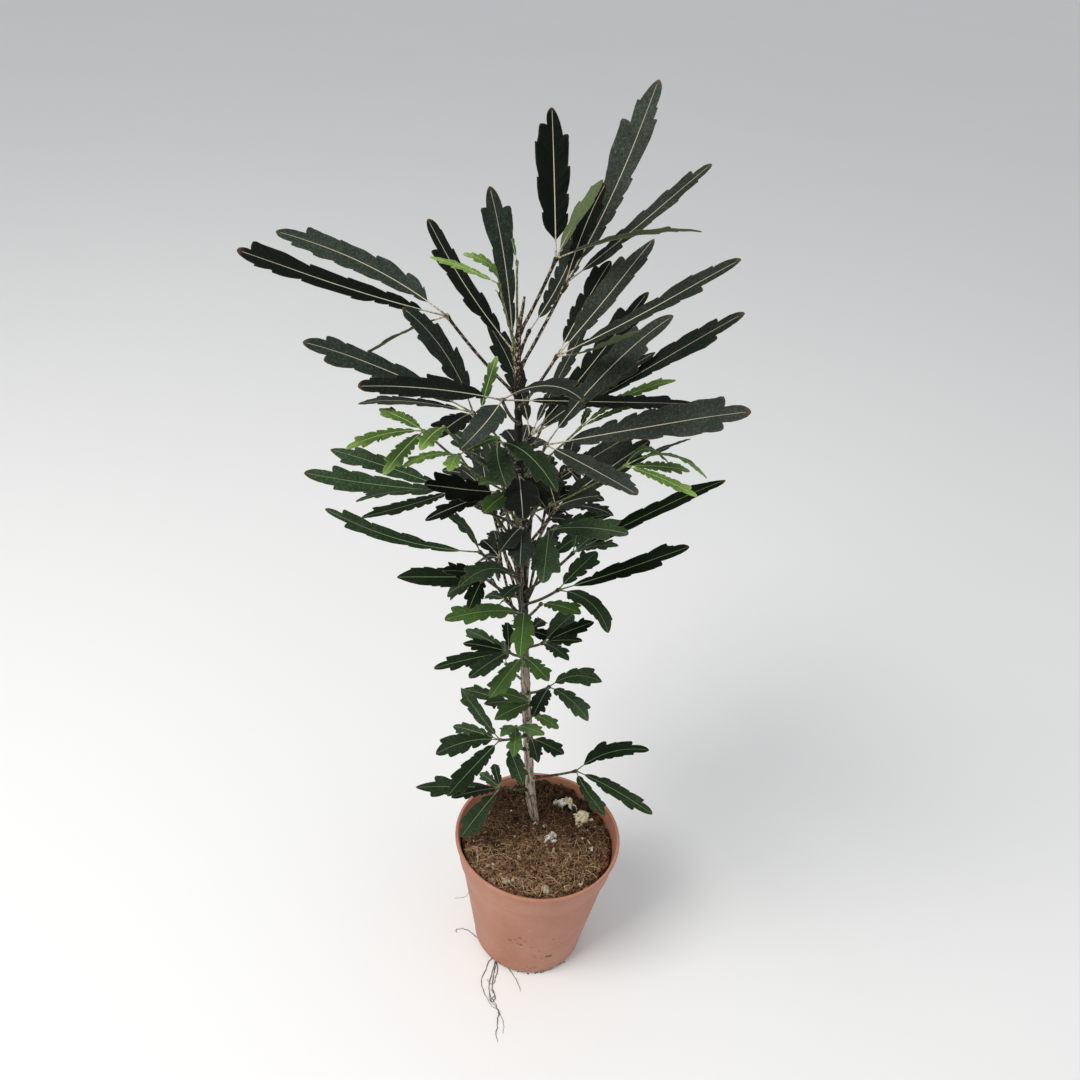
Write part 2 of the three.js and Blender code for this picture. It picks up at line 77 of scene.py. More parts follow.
# Height, cell and seed of its fine forms
SOIL_NOISE = [(1.0, 5.5, 3), (0.7, 2.3, 4), (0.4, 1.1, 5)]
MOUND = 2.2
MOUND_SPREAD = 120
BANK = 5.5
# Crumbs and fibres over the whole soil, and how many more lie over its front half
CRUMBS = (1300, 1100)
FIBRES = (1000, 500)
CRUMB_SIZES = [1.2, 1.8, 2.6, 3.8]
CRUMB_ODDS = [0.42, 0.34, 0.18, 0.06]
CRUMB_PLANES = 6
CRUMB_CUTS = (0.3, 0.8)
CLODS = 170
CLOD_TURNS = (44, 132)
CLOD_SIZES = (2.5, 6.5)
FOOT_DIRT = 60
FOOT_DIRT_TURNS = (-66, 15)
PALE_BITS = 90
FIBRE_REACH = 56
FIBRE_LENGTHS = (4, 18)
FIBRE_RADII = (0.08, 0.2)
FIBRE_TAPER = [0.5, 1, 1, 1, 1, 0.9, 0.4]

# Stem: places on its axis with a radius, and the root strand beside its foot
STEM_DEPTH = 18
STEM_AXIS = [
    (2, 62, 2.4), (-1, 100, 2.5), (-4, 110, 3.2), (-7, 124, 3.6), (-10, 150, 3.3), (-21, 258, 3.0),
    (-30, 358, 2.6), (-36, 426, 2.2), (-41, 486, 1.7), (-38, 510, 0.6),
]
ROOT_STRAND = [
    (-6, 16.5, 130, 0.9), (-4, 15.5, 120, 1.3), (-2, 15.2, 112, 1.5), (0, 15, 100, 1.5), (1, 15, 84, 1.5),
]
STEM_WINDOW = np.linspace(-9, 9, 7)
STEM_STEP = 1.2
STEM_SIDES = 24
STRAND_SIDES = 16
# The stem's swelling under each leaf
NODE_SWELLING = 0.4
NODE_DROP = 1.5
NODE_SPREAD = 1.6

# Leaves
PETIOLE_RADIUS = 0.85
SHEATH_RADIUS = 1.6
HUB_RADIUS = 1.6
PETIOLE_SAG = 0.06
PETIOLE_SIDES = 10
PETIOLE_ROWS = 26
SHEATH_LENGTH = 5
SHEATH_FADE = 9
# The hub: where it starts to swell, the places of its last points, and their shares of its radius
HUB_RISE = 4
HUB_STEPS = (-1.2, 0, 0.9, 1.4)
HUB_SHARES = (0.9, 0.7, 0.2)
YOUNG_SHARE = 0.75
BLADE = 0.4
STALK_SHARE = 0.14
FOLD = 0.14
CUP = 0.35
ARCH = 2
TWIST = 7
DROOP = 2.2
DROOP_FROM = 0.72
VEIN_GAP = 5
VEIN_LIFT = 0.12
# How high and how long a blade's waves are, where it is young and where it isn't
WAVES = {True: (1.0, 9), False: (0.55, 15)}
LOBED_FROM = 15
NARROW_TO = 7
LIGHT_SIDE = np.array([0, -0.5, 0.87]) / math.hypot(0.5, 0.87)

# How far the teeth reach out along a leaflet, as shares of length and half width
REACH = [(0.13, 0.05), (0.2, 0.36), (0.3, 0.62), (0.42, 0.82), (0.58, 0.93), (0.72, 0.98), (0.97, 1.0)]
# From the last notch to the tip: shares of the way, and of the width at the notch for a blunt end
# behind a deep notch and for a pointed one behind a shallow notch
END_LOBE = [
    (0.12, 1.02, 0.95), (0.3, 1.05, 0.81), (0.5, 1.0, 0.63), (0.68, 0.88, 0.45), (0.82, 0.68, 0.30),
    (0.92, 0.44, 0.17), (0.98, 0.21, 0.07),
]
# How each form of leaflet differs: depth of teeth and millimetres between them, and the drop
# behind its last tooth
FORMS = {
    "lobed": {"tooth": 1.9, "spacing": 12.0, "shoulder": 0.52},
    "toothed": {"tooth": 1.6, "spacing": 8.5, "shoulder": 0.42},
    "narrow": {"tooth": 0.8, "spacing": 6.5, "shoulder": 0.25},
    "young": {"tooth": 2.1, "spacing": 5.0, "shoulder": 0.45},
}
# Where the first tooth, the last one and the one before it may lie along a leaflet
FIRST_TOOTH = 0.17
SHOULDER = (0.81, 0.89)
SHOULDER_GAP = 0.12
# A tooth's place between its neighbours, its chance shift, and its deepest drop as a share of reach
TOOTH_PLACE = 0.7
TOOTH_SHIFT = (-0.38, 0.28)
DEEPEST_DROP = 0.45
# Where a blade leaves its stalk, as a share of the length, and how far out it starts
BLADE_FROM = 0.13
STALK_EDGE = 0.45
# The reach of the last notch at which an end starts to be pointed, and where it is fully so
SHALLOW = [0.42, 0.64]
# How deep teeth are next to their form's, and how often
TOOTH_DEPTHS = [0.4, 0.8, 1.2, 1.7]
TOOTH_ODDS = [0.25, 0.35, 0.25, 0.15]
# Places across half a blade, from the midrib out, and the least space between rows along it
COLUMNS = [0.1, 0.32, 0.6, 0.84, 1.0]
ROW_GAP = 0.35
COLUMN_LEAN = 1.15
# The midrib's radius along a leaflet, and its lift off the blade's middle
RIB_RADII = [(0, 0.62), (0.1, 0.42), (0.3, 0.33), (1, 0.22)]
RIB_LIFT = [(0, 0), (0.13, 0), (0.2, 0.03), (1, 0.09)]
RIB_SIDES = 7
# From a notch to the next tooth, as shares of the way along and out
TOOTH_RISE = [(0.16, 0.36), (0.4, 0.76), (0.72, 0.97)]
# Round a tooth's tip and down to its notch: how far back and how far in, as shares of its drop
TOOTH_TIP = [(0.85, 0.05), (0.4, 0), (0.08, 0.12), (0, 0.38), (0.03, 0.72), (0.15, 1.0)]

# The view that leaf places are read in: pixels across and down a square picture of the plant
VIEW = {"focal": 1083, "size": 1080, "eye": (-18, -542, 723), "pitch": 33.4, "roll": 5.26}

# Every leaf from the top down: its height on the stem, its hub and its tone, then its leaflets.
# A hub is across, down, depth. A leaflet is the same for its tip, then its width, and where it
# needs them its bend, its roll in degrees and its arch.
LEAVES = [
    (487, (556, 259, -8), "dark", [
        (552, 107, 22, 17), (604, 180, -20, 9, 0, 180, -2), (702, 230, -34, 13, 0, -52, 4),
        (599, 190, 110, 8)]),
    (484, (517, 262, 66), "young", [(504, 214, 86, 4)]),
    (477, (499, 284, 12), "young", [(463, 254, 2, 7, 0, 0, 6), (430, 257, 30, 5)]),
    (474, (529, 331, 34), "dark", [(582, 224, 84, 14, -4)]),
    (465, (566, 283, 20), "grey", [(658, 78, 48, 18, -4), (605, 183, 0, 13), (711, 163, 10, 12, -3)]),
    (458, (513, 350, 29), "dark", [
        (428, 218, 70, 16, -4), (490, 186, 44, 16, 2), (497, 289, 96, 9, 0, -60)]),
    (450, (447, 316, -8), "dark", [
        (276, 232, 12, 18, 5), (237, 248, -32, 16, -3.5, 10), (353, 364, -36, 12, -4, -60)]),
    (442, (557, 356, -12), "grey", [
        (611, 260, 34, 13), (653, 238, -4, 15, -2), (740, 258, -42, 15, -4),
        (640, 327, -78, 13, 0, -18, -3)]),
    (433, (502, 400, -47), "dark", [
        (358, 386, -76, 17, 1), (582, 398, -112, 15, 5, 0, 4), (460, 450, -94, 16, -2),
        (698, 404, 36, 12, -2, -5)]),
    (418, (530, 436, 36), "dark", [
        (487, 322, 66, 14, 4), (588, 322, 80, 9), (647, 291, 48, 16, -3), (744, 312, 12, 18, -2),
        (655, 352, 20, 13)]),
    (408, (480, 413, -14), "young", [(497, 356, 0, 7)]),
    (402, (473, 413, -38), "dark", [
        (405, 308, -62, 18, 4), (303, 341, -44, 18, 2), (358, 402, -48, 10, 2, -30),
        (436, 438, -84, 14)]),
    (396, (580, 428, 30), "young", [(676, 380, 38, 7, 4), (640, 402, 42, 4), (590, 408, 50, 5)]),
    (388, (546, 445, -26), "grey", [
        (671, 315, -46, 18, 3), (751, 410, -40, 22, -1), (637, 494, -96, 17, -1)]),
    (382, (424, 431, -56), "young", [
        (379, 409, -44, 7), (396, 415, -28, 6), (346, 449, -86, 7, 2), (384, 474, -112, 10)]),
    (391, (444, 427, -96), "young", [(420, 449, -124, 9)]),
    (367, (459, 455, -62), "young", [(403, 467, -98, 6, 2), (500, 437, -34, 6), (449, 471, -92, 8)]),
    (374, (498, 442, -50), "mid", [(557, 491, -100, 12, 2, 0, 6), (507, 487, -92, 14, -2)]),
    (370, (625, 466, -34), "young", [
        (707, 479, -44, 6, 3, -40, 9), (697, 496, -74, 7), (690, 471, -14, 8),
        (672, 468, 6, 6, 8, 0, 6)]),
    (364, (452, 491, -36), "mid", [
        (330, 449, -26, 12), (304, 473, -62, 18, -3), (356, 499, -86, 8, 0, -40),
        (362, 517, -110, 9, -3)]),
    (360, (508, 484, 72), "dark", [(448, 428, 118, 14), (478, 456, 150, 14), (442, 470, 90, 12)]),
    (356, (546, 488, 72), "dark", [(590, 458, 134, 14), (640, 430, 92, 14), (604, 500, 40, 12)]),
    (354, (498, 492, -54), "dark", [(425, 484, -86, 17, -2.5), (425, 520, -76, 9)]),
    (339, (514, 492, -44), "light", [(480, 482, -104, 11), (484, 512, -100, 12)]),
    (344, (556, 508, 0), "dark", [
        (650, 441, 8, 16), (690, 437, 34, 9, 0, -50), (600, 496, -26, 18), (613, 515, -62, 8, 2),
        (546, 476, 40, 13)]),
    (358, (519, 476, -60), "dark", [(523, 519, -114, 19), (546, 508, -94, 13)]),
    (334, (549, 530, -42), "mid", [(628, 534, -86, 15, 1), (612, 514, -26, 9), (543, 583, -92, 16)]),
    (326, (480, 552, -40), "mid", [(325, 508, -36, 13, -7), (449, 515, -68, 12, 1)]),
    (322, (498, 520, 74), "dark", [(456, 486, 118, 13), (482, 498, 150, 12), (518, 500, 140, 12)]),
    (318, (522, 527, -44), "dark", [(520, 567, -92, 14), (500, 552, -84, 12)]),
    (312, (573, 553, -6), "mid", [
        (724, 479, -30, 11), (618, 545, -40, 8), (597, 534, 30, 8), (580, 518, 50, 8)]),
    (308, (484, 577, -44), "mid", [
        (397, 577, -60, 14, -1), (443, 571, -70, 12), (447, 595, -34, 12), (469, 609, -70, 11)]),
    (303, (558, 590, -18), "mid", [(689, 546, -20, 14, -2), (608, 632, -66, 13, 6), (597, 552, 20, 13)]),
    (299, (544, 562, 66), "mid", [(590, 528, 108, 12), (556, 524, 132, 11)]),
    (297, (521, 586, -28), "mid", [(459, 587, -86, 13, 6, 0, 8), (502, 598, -70, 9)]),
    (292, (492, 580, 56), "mid", [(452, 582, 92, 11), (486, 560, 116, 11)]),
    (291, (541, 604, -8), "light", [(580, 613, -46, 11)]),
    (286, (524, 613, -26), "light", [(445, 620, -70, 13, 2), (520, 658, -78, 14, 0, 0, 6)]),
    (268, (543, 643, 0), "mid", [
        (573, 614, 30, 14), (594, 622, 4, 10), (582, 641, -22, 9), (568, 659, -40, 10)]),
    (261, (509, 652, -24), "mid", [
        (463, 643, -24, 9), (466, 630, 8, 9), (434, 668, -50, 10), (470, 677, -76, 12),
        (507, 622, 18, 8)]),
    (253, (523, 656, -20), "light", [(490, 698, -76, 12), (549, 681, -56, 11)]),
    (238, (506, 664, 62), "mid", [(478, 650, 92, 10), (504, 640, 108, 10)]),
    (228, (549, 687, -12), "mid", [(602, 682, -15, 12, 5), (588, 720, -50, 12, 2), (533, 716, -60, 12)]),
    (216, (531, 703, -10), "light", [(499, 693, -32, 10), (495, 719, -56, 12)]),
    (210, (512, 703, 26), "mid", [(463, 689, 34, 10), (484, 704, 4, 9)]),
    (204, (533, 715, -2), "light", [(558, 728, -30, 9)]),
    (197, (516, 727, -22), "light", [(544, 735, -60, 10), (514, 756, -74, 10), (501, 735, -60, 8)]),
    (190, (500, 740, -20), "mid", [
        (461, 688, -10, 10, 0, 30), (453, 726, 6, 9), (436, 754, -46, 14, 3), (448, 795, -80, 13)]),
    (184, (531, 738, -4), "mid", [(564, 754, -20, 10), (538, 762, -40, 9)]),
    (176, (508, 746, 2), "mid", [(523, 785, -34, 13)]),
    (148, (576, 771, 10), "mid", [
        (649, 750, 10, 13, 5.5), (652, 814, -46, 13, 1), (605, 815, -32, 10, -2)]),
    (136, (500, 788, -4), "mid", [
        (416, 787, -26, 12), (452, 797, -50, 9), (494, 764, 20, 7), (480, 773, 4, 8),
        (461, 837, -14, 16)]),
]

# Small leaves round the middle of the stem, in the same form, which stand for no node
INNER_SEED = 100
INNER_LEAVES = [
    (352, (499, 470, 46), "dark", [(470, 452, 78, 12), (474, 478, 84, 11), (486, 440, 92, 12)]),
    (336, (520, 507, 50), "dark", [(500, 528, 84, 12), (522, 546, 74, 13), (541, 522, 90, 12)]),
    (366, (566, 468, 54), "dark", [(592, 502, 80, 12), (590, 482, 94, 11), (574, 440, 96, 12)]),
    (312, (503, 548, 40), "dark", [(484, 566, 70, 11), (498, 580, 62, 11), (520, 566, 76, 12)]),
    (344, (486, 500, 20), "mid", [(466, 488, 48, 10), (470, 506, -14, 10), (482, 476, 56, 9)]),
    (330, (548, 520, 30), "dark", [(566, 506, 62, 10), (572, 522, 8, 10), (552, 496, 70, 10)]),
    (378, (520, 452, 60), "dark", [(506, 430, 98, 12), (528, 424, 104, 12), (545, 440, 94, 11)]),
    (292, (506, 600, 24), "mid", [(486, 596, 48, 9), (494, 616, 52, 9), (522, 590, 56, 9)]),
    (270, (529, 632, 24), "mid", [(544, 620, 52, 9), (552, 638, 8, 9), (516, 618, 50, 9)]),
    (398, (548, 412, 56), "dark", [(560, 388, 96, 11), (577, 402, 86, 11)]),
    (296, (488, 494, 34), "dark", [(462, 470, 60, 13), (480, 452, 70, 13), (472, 500, 72, 12)]),
    (300, (502, 482, 30), "dark", [(490, 448, 62, 13), (510, 446, 68, 13), (484, 470, 80, 12)]),
    (304, (516, 494, 44), "dark", [(508, 460, 84, 14), (532, 464, 88, 13)]),
    (298, (534, 488, 22), "dark", [(552, 456, 52, 13), (562, 476, 58, 12), (540, 450, 74, 12)]),
    (290, (546, 506, 34), "dark", [(574, 492, 66, 12), (568, 514, 62, 11), (560, 478, 82, 12)]),
    (266, (500, 558, 30), "dark", [(482, 540, 56, 11), (494, 530, 66, 12), (480, 560, 60, 10)]),
    (270, (528, 562, 34), "dark", [(540, 540, 66, 12), (552, 556, 62, 11)]),
]

# The leaflets that show best, by leaf and place in it: how grey the face is, which is painted sheen
# over the leaf's own tone, then the teeth of its left and right sides in percent: how far along a
# tooth's tip is, its reach, and the drop behind it where that isn't the usual notch
NOTCH = 13
LOOKS = {
    (1, 0): (0.0, [(18, 60), (31, 80), (54, 106, 14), (77, 112), (89, 84, 50)],
        [(30, 78), (43, 84), (61, 95), (82, 92, 34)]),
    (1, 1): (0.5, [(45, 48), (80, 60)], [(38, 90), (66, 115, 25), (87, 82)]),
    (3, 0): (1.0, [(22, 50, 20), (36, 85, 35), (52, 105, 45), (68, 95, 40), (84, 85, 40)],
        [(25, 50, 20), (42, 85, 35), (58, 100, 45), (75, 95, 40), (88, 75, 35)]),
    (3, 1): (1.0, [(30, 60, 20), (48, 90, 35), (66, 100, 45), (84, 90, 40)],
        [(25, 50, 20), (40, 80, 30), (57, 100, 45), (75, 95, 40)]),
    (5, 0): (0.95, [(18, 30), (30, 55), (49, 84), (79, 122, 55), (89, 76, 16)],
        [(32, 55), (40, 70), (47, 72), (56, 77, 20), (83, 82, 26), (88, 56, 12)]),
    (5, 2): (0.6, [(30, 51), (44, 80), (59, 88), (75, 91), (90, 85, 38)],
        [(40, 85, 44), (60, 69), (77, 80), (90, 60, 19)]),
    (6, 0): (0.1, [(28, 48), (43, 83, 25), (62, 78), (79, 98, 55)],
        [(26, 58), (41, 75, 18), (58, 60), (75, 65), (90, 54, 8)]),
    (6, 1): (0.6, [(26, 34), (38, 71, 15), (64, 74, 8), (89, 100, 45)],
        [(30, 34), (50, 55), (66, 70, 10), (87, 107, 55)]),
    (7, 0): (0.85, [(20, 28), (38, 65), (54, 83), (65, 89), (77, 89), (90, 71, 25)],
        [(19, 85, 35), (30, 91, 25), (48, 97, 25), (68, 85), (86, 92, 45)]),
    (7, 1): (0.05, [(29, 40), (36, 40), (47, 62), (70, 58), (83, 70, 20), (91, 66)],
        [(19, 38), (31, 60), (50, 70, 12), (68, 72), (95, 90, 60)]),
    (8, 1): (0.65, [(20, 30), (35, 88), (46, 118, 30), (79, 115, 50)],
        [(25, 40), (38, 65), (56, 73), (75, 70), (88, 72, 20)]),
    (8, 2): (0.4, [(20, 23), (38, 52), (60, 58), (78, 78, 10), (88, 62, 15)],
        [(30, 40), (44, 56), (56, 54), (70, 66), (81, 82, 45)]),
    (9, 0): (0.15, [(20, 25), (45, 68), (60, 70), (75, 70), (87, 55, 15)],
        [(30, 60), (54, 95, 30), (75, 70), (92, 52, 15)]),
    (9, 2): (1.0, [(10, 60), (18, 80), (26, 85), (34, 90), (45, 90), (62, 85), (80, 70)],
        [(10, 60), (18, 80), (26, 85), (34, 90), (45, 90), (62, 85), (80, 70)]),
    (10, 3): (0.35, [(55, 50), (62, 62), (72, 79, 15), (82, 78, 16), (90, 69, 30)],
        [(40, 30), (50, 42), (60, 55), (68, 66, 10), (88, 91, 45)]),
    (12, 0): (0.7, [(35, 62), (52, 90, 20), (83, 94, 30), (92, 56, 12)],
        [(30, 75, 20), (49, 96, 40), (73, 79, 20), (85, 60)]),
    (12, 1): (0.65, [(35, 50), (47, 68), (60, 80, 12), (70, 82), (87, 100, 55)],
        [(30, 45), (50, 65), (65, 70), (78, 72), (89, 83, 35)]),
    (14, 0): (0.6, [(20, 35), (40, 70), (60, 85), (82, 88, 40)],
        [(20, 40), (35, 55), (50, 70), (62, 95, 12), (75, 102), (82, 85, 40)]),
    (14, 1): (0.8, [(28, 47), (37, 70, 25), (47, 84, 20), (56, 95, 15), (68, 96, 10), (89, 96, 55)],
        [(28, 48), (42, 58), (59, 76, 15), (77, 93, 8), (87, 88, 45)]),
    (14, 2): (0.95, [(30, 48), (50, 75), (70, 80), (85, 90, 20), (93, 55, 20)],
        [(30, 60), (42, 75), (57, 90, 20), (80, 68, 15), (90, 45)]),
    (20, 1): (0.75, [(30, 45), (45, 60), (62, 70), (81, 79, 30)],
        [(28, 35), (40, 45, 8), (55, 58), (70, 68), (83, 80, 40)]),
    (28, 0): (0.5, [(30, 30), (44, 44), (70, 66), (84, 79, 50)],
        [(33, 44), (50, 70), (70, 70), (90, 79, 45)]),
    (31, 0): (0.0, [(25, 50), (37, 85), (51, 100, 20), (61, 92, 15), (83, 88, 12)],
        [(30, 60), (50, 75, 12), (80, 78, 15), (90, 58, 15)]),
    (32, 0): (0.1, [(54, 100, 15), (63, 86, 8), (76, 80, 5)], [(55, 80), (70, 92), (85, 80)]),
    (33, 0): (0.0, [(27, 35), (33, 60), (50, 75), (71, 75, 8), (86, 93, 20), (90, 60)],
        [(45, 60), (56, 76, 12), (79, 85, 45)]),
    (33, 1): (0.5, [(38, 70), (60, 80, 8), (87, 75, 15)], [(28, 95), (40, 91), (70, 74), (80, 60, 15)]),
    (51, 0): (0.2, [(19, 60), (31, 95), (49, 135, 45), (61, 95, 8), (80, 88, 45)],
        [(30, 35), (42, 60), (54, 75, 12), (68, 75, 12), (82, 68, 30)]),
    (51, 1): (0.45, [(30, 45), (42, 78, 8), (55, 78, 8), (67, 75), (85, 78, 35)],
        [(30, 30), (38, 58), (50, 78, 10), (66, 74), (83, 90, 40)]),
    (52, 0): (0.5, [(43, 100, 15), (68, 95), (85, 120, 60)], [(45, 60), (60, 90), (79, 124, 65)]),
}
# How grey some others are with painted sheen, whose teeth are drawn by chance
SHEEN_SKEW = 1.2
SHEEN_GREYS = {
    (1, 2): 0.6, (4, 0): 0.5, (5, 1): 0.0, (8, 0): 0.1, (12, 3): 0.05, (23, 0): 0.0, (26, 0): 0.1,
    (27, 2): 1.0, (28, 1): 1.0, (46, 0): 1.0, (47, 0): 1.0, (47, 1): 1.0, (47, 2): 1.0,
}

# Pale lumps on the soil: place across and back, size across, kind
LUMP_KINDS = {"white": 0.0, "cream": 0.5, "grey": 1.0}
LUMPS = [
    (16, 37, 9, "white"), (21, 38, 10, "cream"), (26, 35, 7, "white"), (32.5, 24, 15, "cream"),
    (10, 1.4, 10, "white"), (-2, 13, 4, "white"), (5, 12, 3, "white"), (-21, -44, 6.5, "grey"),
    (8, -47, 8, "grey"), (32, -39, 4, "white"), (-30, -30, 4, "grey"), (24, -12, 4, "grey"),
    (-12, -20, 3.5, "grey"), (40, -6, 4, "white"),
]

# Stray roots: pixels along the floor, or up the side of the pot
FLOOR_ROOTS = [
    [
        (496, 952), (495, 963), (491, 976), (489, 988), (491, 997), (496, 1006), (499, 1012), (503, 1021),
        (503, 1033)],
    [
        (498, 952), (496, 964), (493, 976), (492, 987), (494, 995), (491, 1001), (497, 1009), (499, 1014),
        (497, 1018)],
    [(494, 950), (491, 959), (486, 969), (482, 981), (483, 991), (488, 1001), (494, 1008), (501, 1013)],
    [(499, 1012), (498, 1019), (497, 1027), (496, 1037), (498, 1043)],
    [(500, 956), (508, 968), (515, 978), (520, 992)],
    [(490, 946), (479, 939), (470, 932), (463, 929), (457, 930), (456, 933)],
    [(495, 958), (497, 968), (495, 980), (490, 984), (487, 979)],
    [(491, 990), (495, 996), (493, 1002), (489, 999), (490, 994)],
]
SIDE_HAIR = [(476, 886, -24), (470, 891, -27), (465, 897, -28), (455, 898, -30)]
ROOT_RADIUS = 0.26
ROOT_WAVES = [(0.5, 4.0), (0.25, 1.7)]

# Dirt specks on the pot: place and radius
POT_SPECKS = [
    (-13.1, -46, 47, 1.5), (-9.4, -47.4, 50, 1.1), (-6.1, -48.5, 54, 1.3), (-4.8, -46.9, 44, 1.4),
    (-7.5, -47, 45, 1.0), (-11, -46.5, 44, 0.9), (-2, -48, 50, 1.0), (16.9, -40.7, 25.6, 1.9),
    (15.4, -41.3, 26, 1.8), (18, -40.3, 25, 1.6), (21, -45, 50, 1.3), (18.5, -45.5, 50.5, 1.2),
    (20, -44, 45, 1.1), (23, -42.5, 44, 1.0), (6, -44, 28, 0.9), (9, -44.6, 36, 0.9), (-16, -43, 34, 0.8),
    (3, -46.5, 42, 0.9), (25, -40, 40, 1.0), (12, -42.5, 24, 0.9),
]

# Each tone of leaf: its upper side, its lighter mottle, which also serves as painted sheen, its under side,
# its midrib
TONES = {
    "dark": ((0.0024, 0.0042, 0.0026), (0.046, 0.060, 0.047), (0.085, 0.112, 0.050), (0.46, 0.42, 0.31)),
    "grey": ((0.0036, 0.0060, 0.0038), (0.053, 0.065, 0.051), (0.090, 0.118, 0.054), (0.48, 0.44, 0.33)),
    "mid": ((0.0046, 0.0100, 0.0034), (0.061, 0.104, 0.048), (0.080, 0.120, 0.045), (0.19, 0.235, 0.115)),
    "light": ((0.0300, 0.0680, 0.0140), (0.108, 0.200, 0.052), (0.100, 0.150, 0.055), (0.25, 0.325, 0.15)),
    "young": ((0.0220, 0.0520, 0.0060), (0.170, 0.285, 0.055), (0.090, 0.160, 0.030), (0.34, 0.44, 0.16)),
}
YOUNG_FRINGE = (0.28, 0.42, 0.10)
YOUNG_WORN = (0.26, 0.32, 0.10)
WORN = (0.11, 0.070, 0.038)
STALK_SPECKS = (0.04, 0.027, 0.014)
# A petiole's flecks and the ground between them
PETIOLE_TONES = {
    "dark": ((0.40, 0.31, 0.19), (0.014, 0.010, 0.007)),
    "grey": ((0.42, 0.34, 0.21), (0.018, 0.013, 0.009)),
    "mid": ((0.20, 0.17, 0.08), (0.018, 0.018, 0.009)),
    "light": ((0.20, 0.20, 0.08), (0.026, 0.038, 0.012)),
    "young": ((0.30, 0.30, 0.13), (0.060, 0.090, 0.022)),
}

FLOOR_REACH = 40.0
SENSOR = 36


# The view
def view_axes():
    """The directions to the right, up and ahead in the view"""
    pitch = math.radians(VIEW["pitch"])
    roll = math.radians(VIEW["roll"])
    ahead = np.array([0, math.cos(pitch), -math.sin(pitch)])
    level = np.array([1.0, 0, 0])
    upright = np.cross(level, ahead)
    right = math.cos(roll) * level + math.sin(roll) * upright
    top = math.cos(roll) * upright - math.sin(roll) * level
    return right, top, ahead


def meet(across, down, axis, value):
    """Where the line from the eye through a pixel reaches a place along one axis"""
    right, top, ahead = view_axes()
    middle = VIEW["size"] / 2
    way = ahead + right * (across - middle) / VIEW["focal"] + top * (middle - down) / VIEW["focal"]
    eye = np.array(VIEW["eye"], float)
    return eye + way * (value - eye[axis]) / way[axis]


def place(across, down, depth):
    """Where a pixel of the view lies, at a depth behind the pot's axis"""
    return meet(across, down, 1, depth)


def on_level(across, down, height):
    """Where a pixel of the view lies, at a height above the floor"""
    return meet(across, down, 2, height)


# Meshes
def grid_faces(rows, columns, closed):
    """Four-sided faces over rows of points, joined round each row where it is closed"""
    faces = []
    for row in range(rows - 1):
        for column in range(columns if closed else columns - 1):
            a = row * columns + column
            b = row * columns + (column + 1) % columns
            faces.append([a, b, b + columns, a + columns])
    return faces


def closed_faces(rows, sides):
    """The faces of a closed body made of rings of points: its wall, and a cap at each end"""
    faces = grid_faces(rows, sides, True)
    faces.append(list(range(sides - 1, -1, -1)))
    faces.append([(rows - 1) * sides + corner for corner in range(sides)])
    return faces


def even_turns(sides):
    """Even steps round a circle, in radians"""
    return np.arange(sides) / sides * math.tau


def circle(radius, turns, z):
    """Points round the axis at some turns"""
    return np.column_stack([radius * np.cos(turns), radius * np.sin(turns), np.full(len(turns), z)])


def tube(path, radii, sides):
    """A closed tube along a path, with a radius at each of its points. Its spots are the length
    so far, the turn round it and the share of its length."""
    path = np.asarray(path, float)
    radii = np.asarray(radii, float) * np.ones(len(path))
    forward = np.gradient(path, axis=0)
    forward /= np.linalg.norm(forward, axis=1)[:, None]
    lengths = np.concatenate([[0], np.cumsum(np.linalg.norm(np.diff(path, axis=0), axis=1))])
    side = np.cross(forward[0], [0, 0, 1] if abs(forward[0][2]) < 0.9 else [0, 1, 0])
    turns = np.arange(sides) / sides
    points, spots = [], []
    for index, centre in enumerate(path):
        side = side - forward[index] * (side @ forward[index])
        side /= np.linalg.norm(side)
        up = np.cross(forward[index], side)
        around = np.cos(turns * math.tau)[:, None] * side + np.sin(turns * math.tau)[:, None] * up
        points.append(centre + radii[index] * around)
        share = lengths[index] / lengths[-1]
        spots.append(np.column_stack([np.full(sides, lengths[index]), turns, np.full(sides, share)]))
    return np.concatenate(points), closed_faces(len(path), sides), np.concatenate(spots)


def smooth_path(points, steps):
    """A smooth path through a few points, with even steps between them"""
    points = np.asarray(points, float)
    padded = np.concatenate([[2 * points[0] - points[1]], points, [2 * points[-1] - points[-2]]])
    made = []
    for index in range(len(points) - 1):
        before, start, end, after = padded[index:index + 4]
        for step in range(steps):
            t = step / steps
            made.append(0.5 * (
                2 * start + (end - before) * t
                + (2 * before - 5 * start + 4 * end - after) * t * t
                + (3 * start - before - 3 * end + after) * t ** 3))
    made.append(points[-1])
    return np.array(made)


def noise(x, y, cell, seed):
    """Smooth random heights from -1 to 1 over square cells"""
    size = NOISE_CELLS
    table = np.random.default_rng(seed).uniform(-1, 1, (size, size))
    u, v = np.asarray(x) / cell, np.asarray(y) / cell
    i, j = np.floor(u).astype(int), np.floor(v).astype(int)
    a, b = u - i, v - j
    a, b = a * a * (3 - 2 * a), b * b * (3 - 2 * b)
    low = table[i % size, j % size] * (1 - a) + table[(i + 1) % size, j % size] * a
    high = table[i % size, (j + 1) % size] * (1 - a) + table[(i + 1) % size, (j + 1) % size] * a
    return low * (1 - b) + high * b


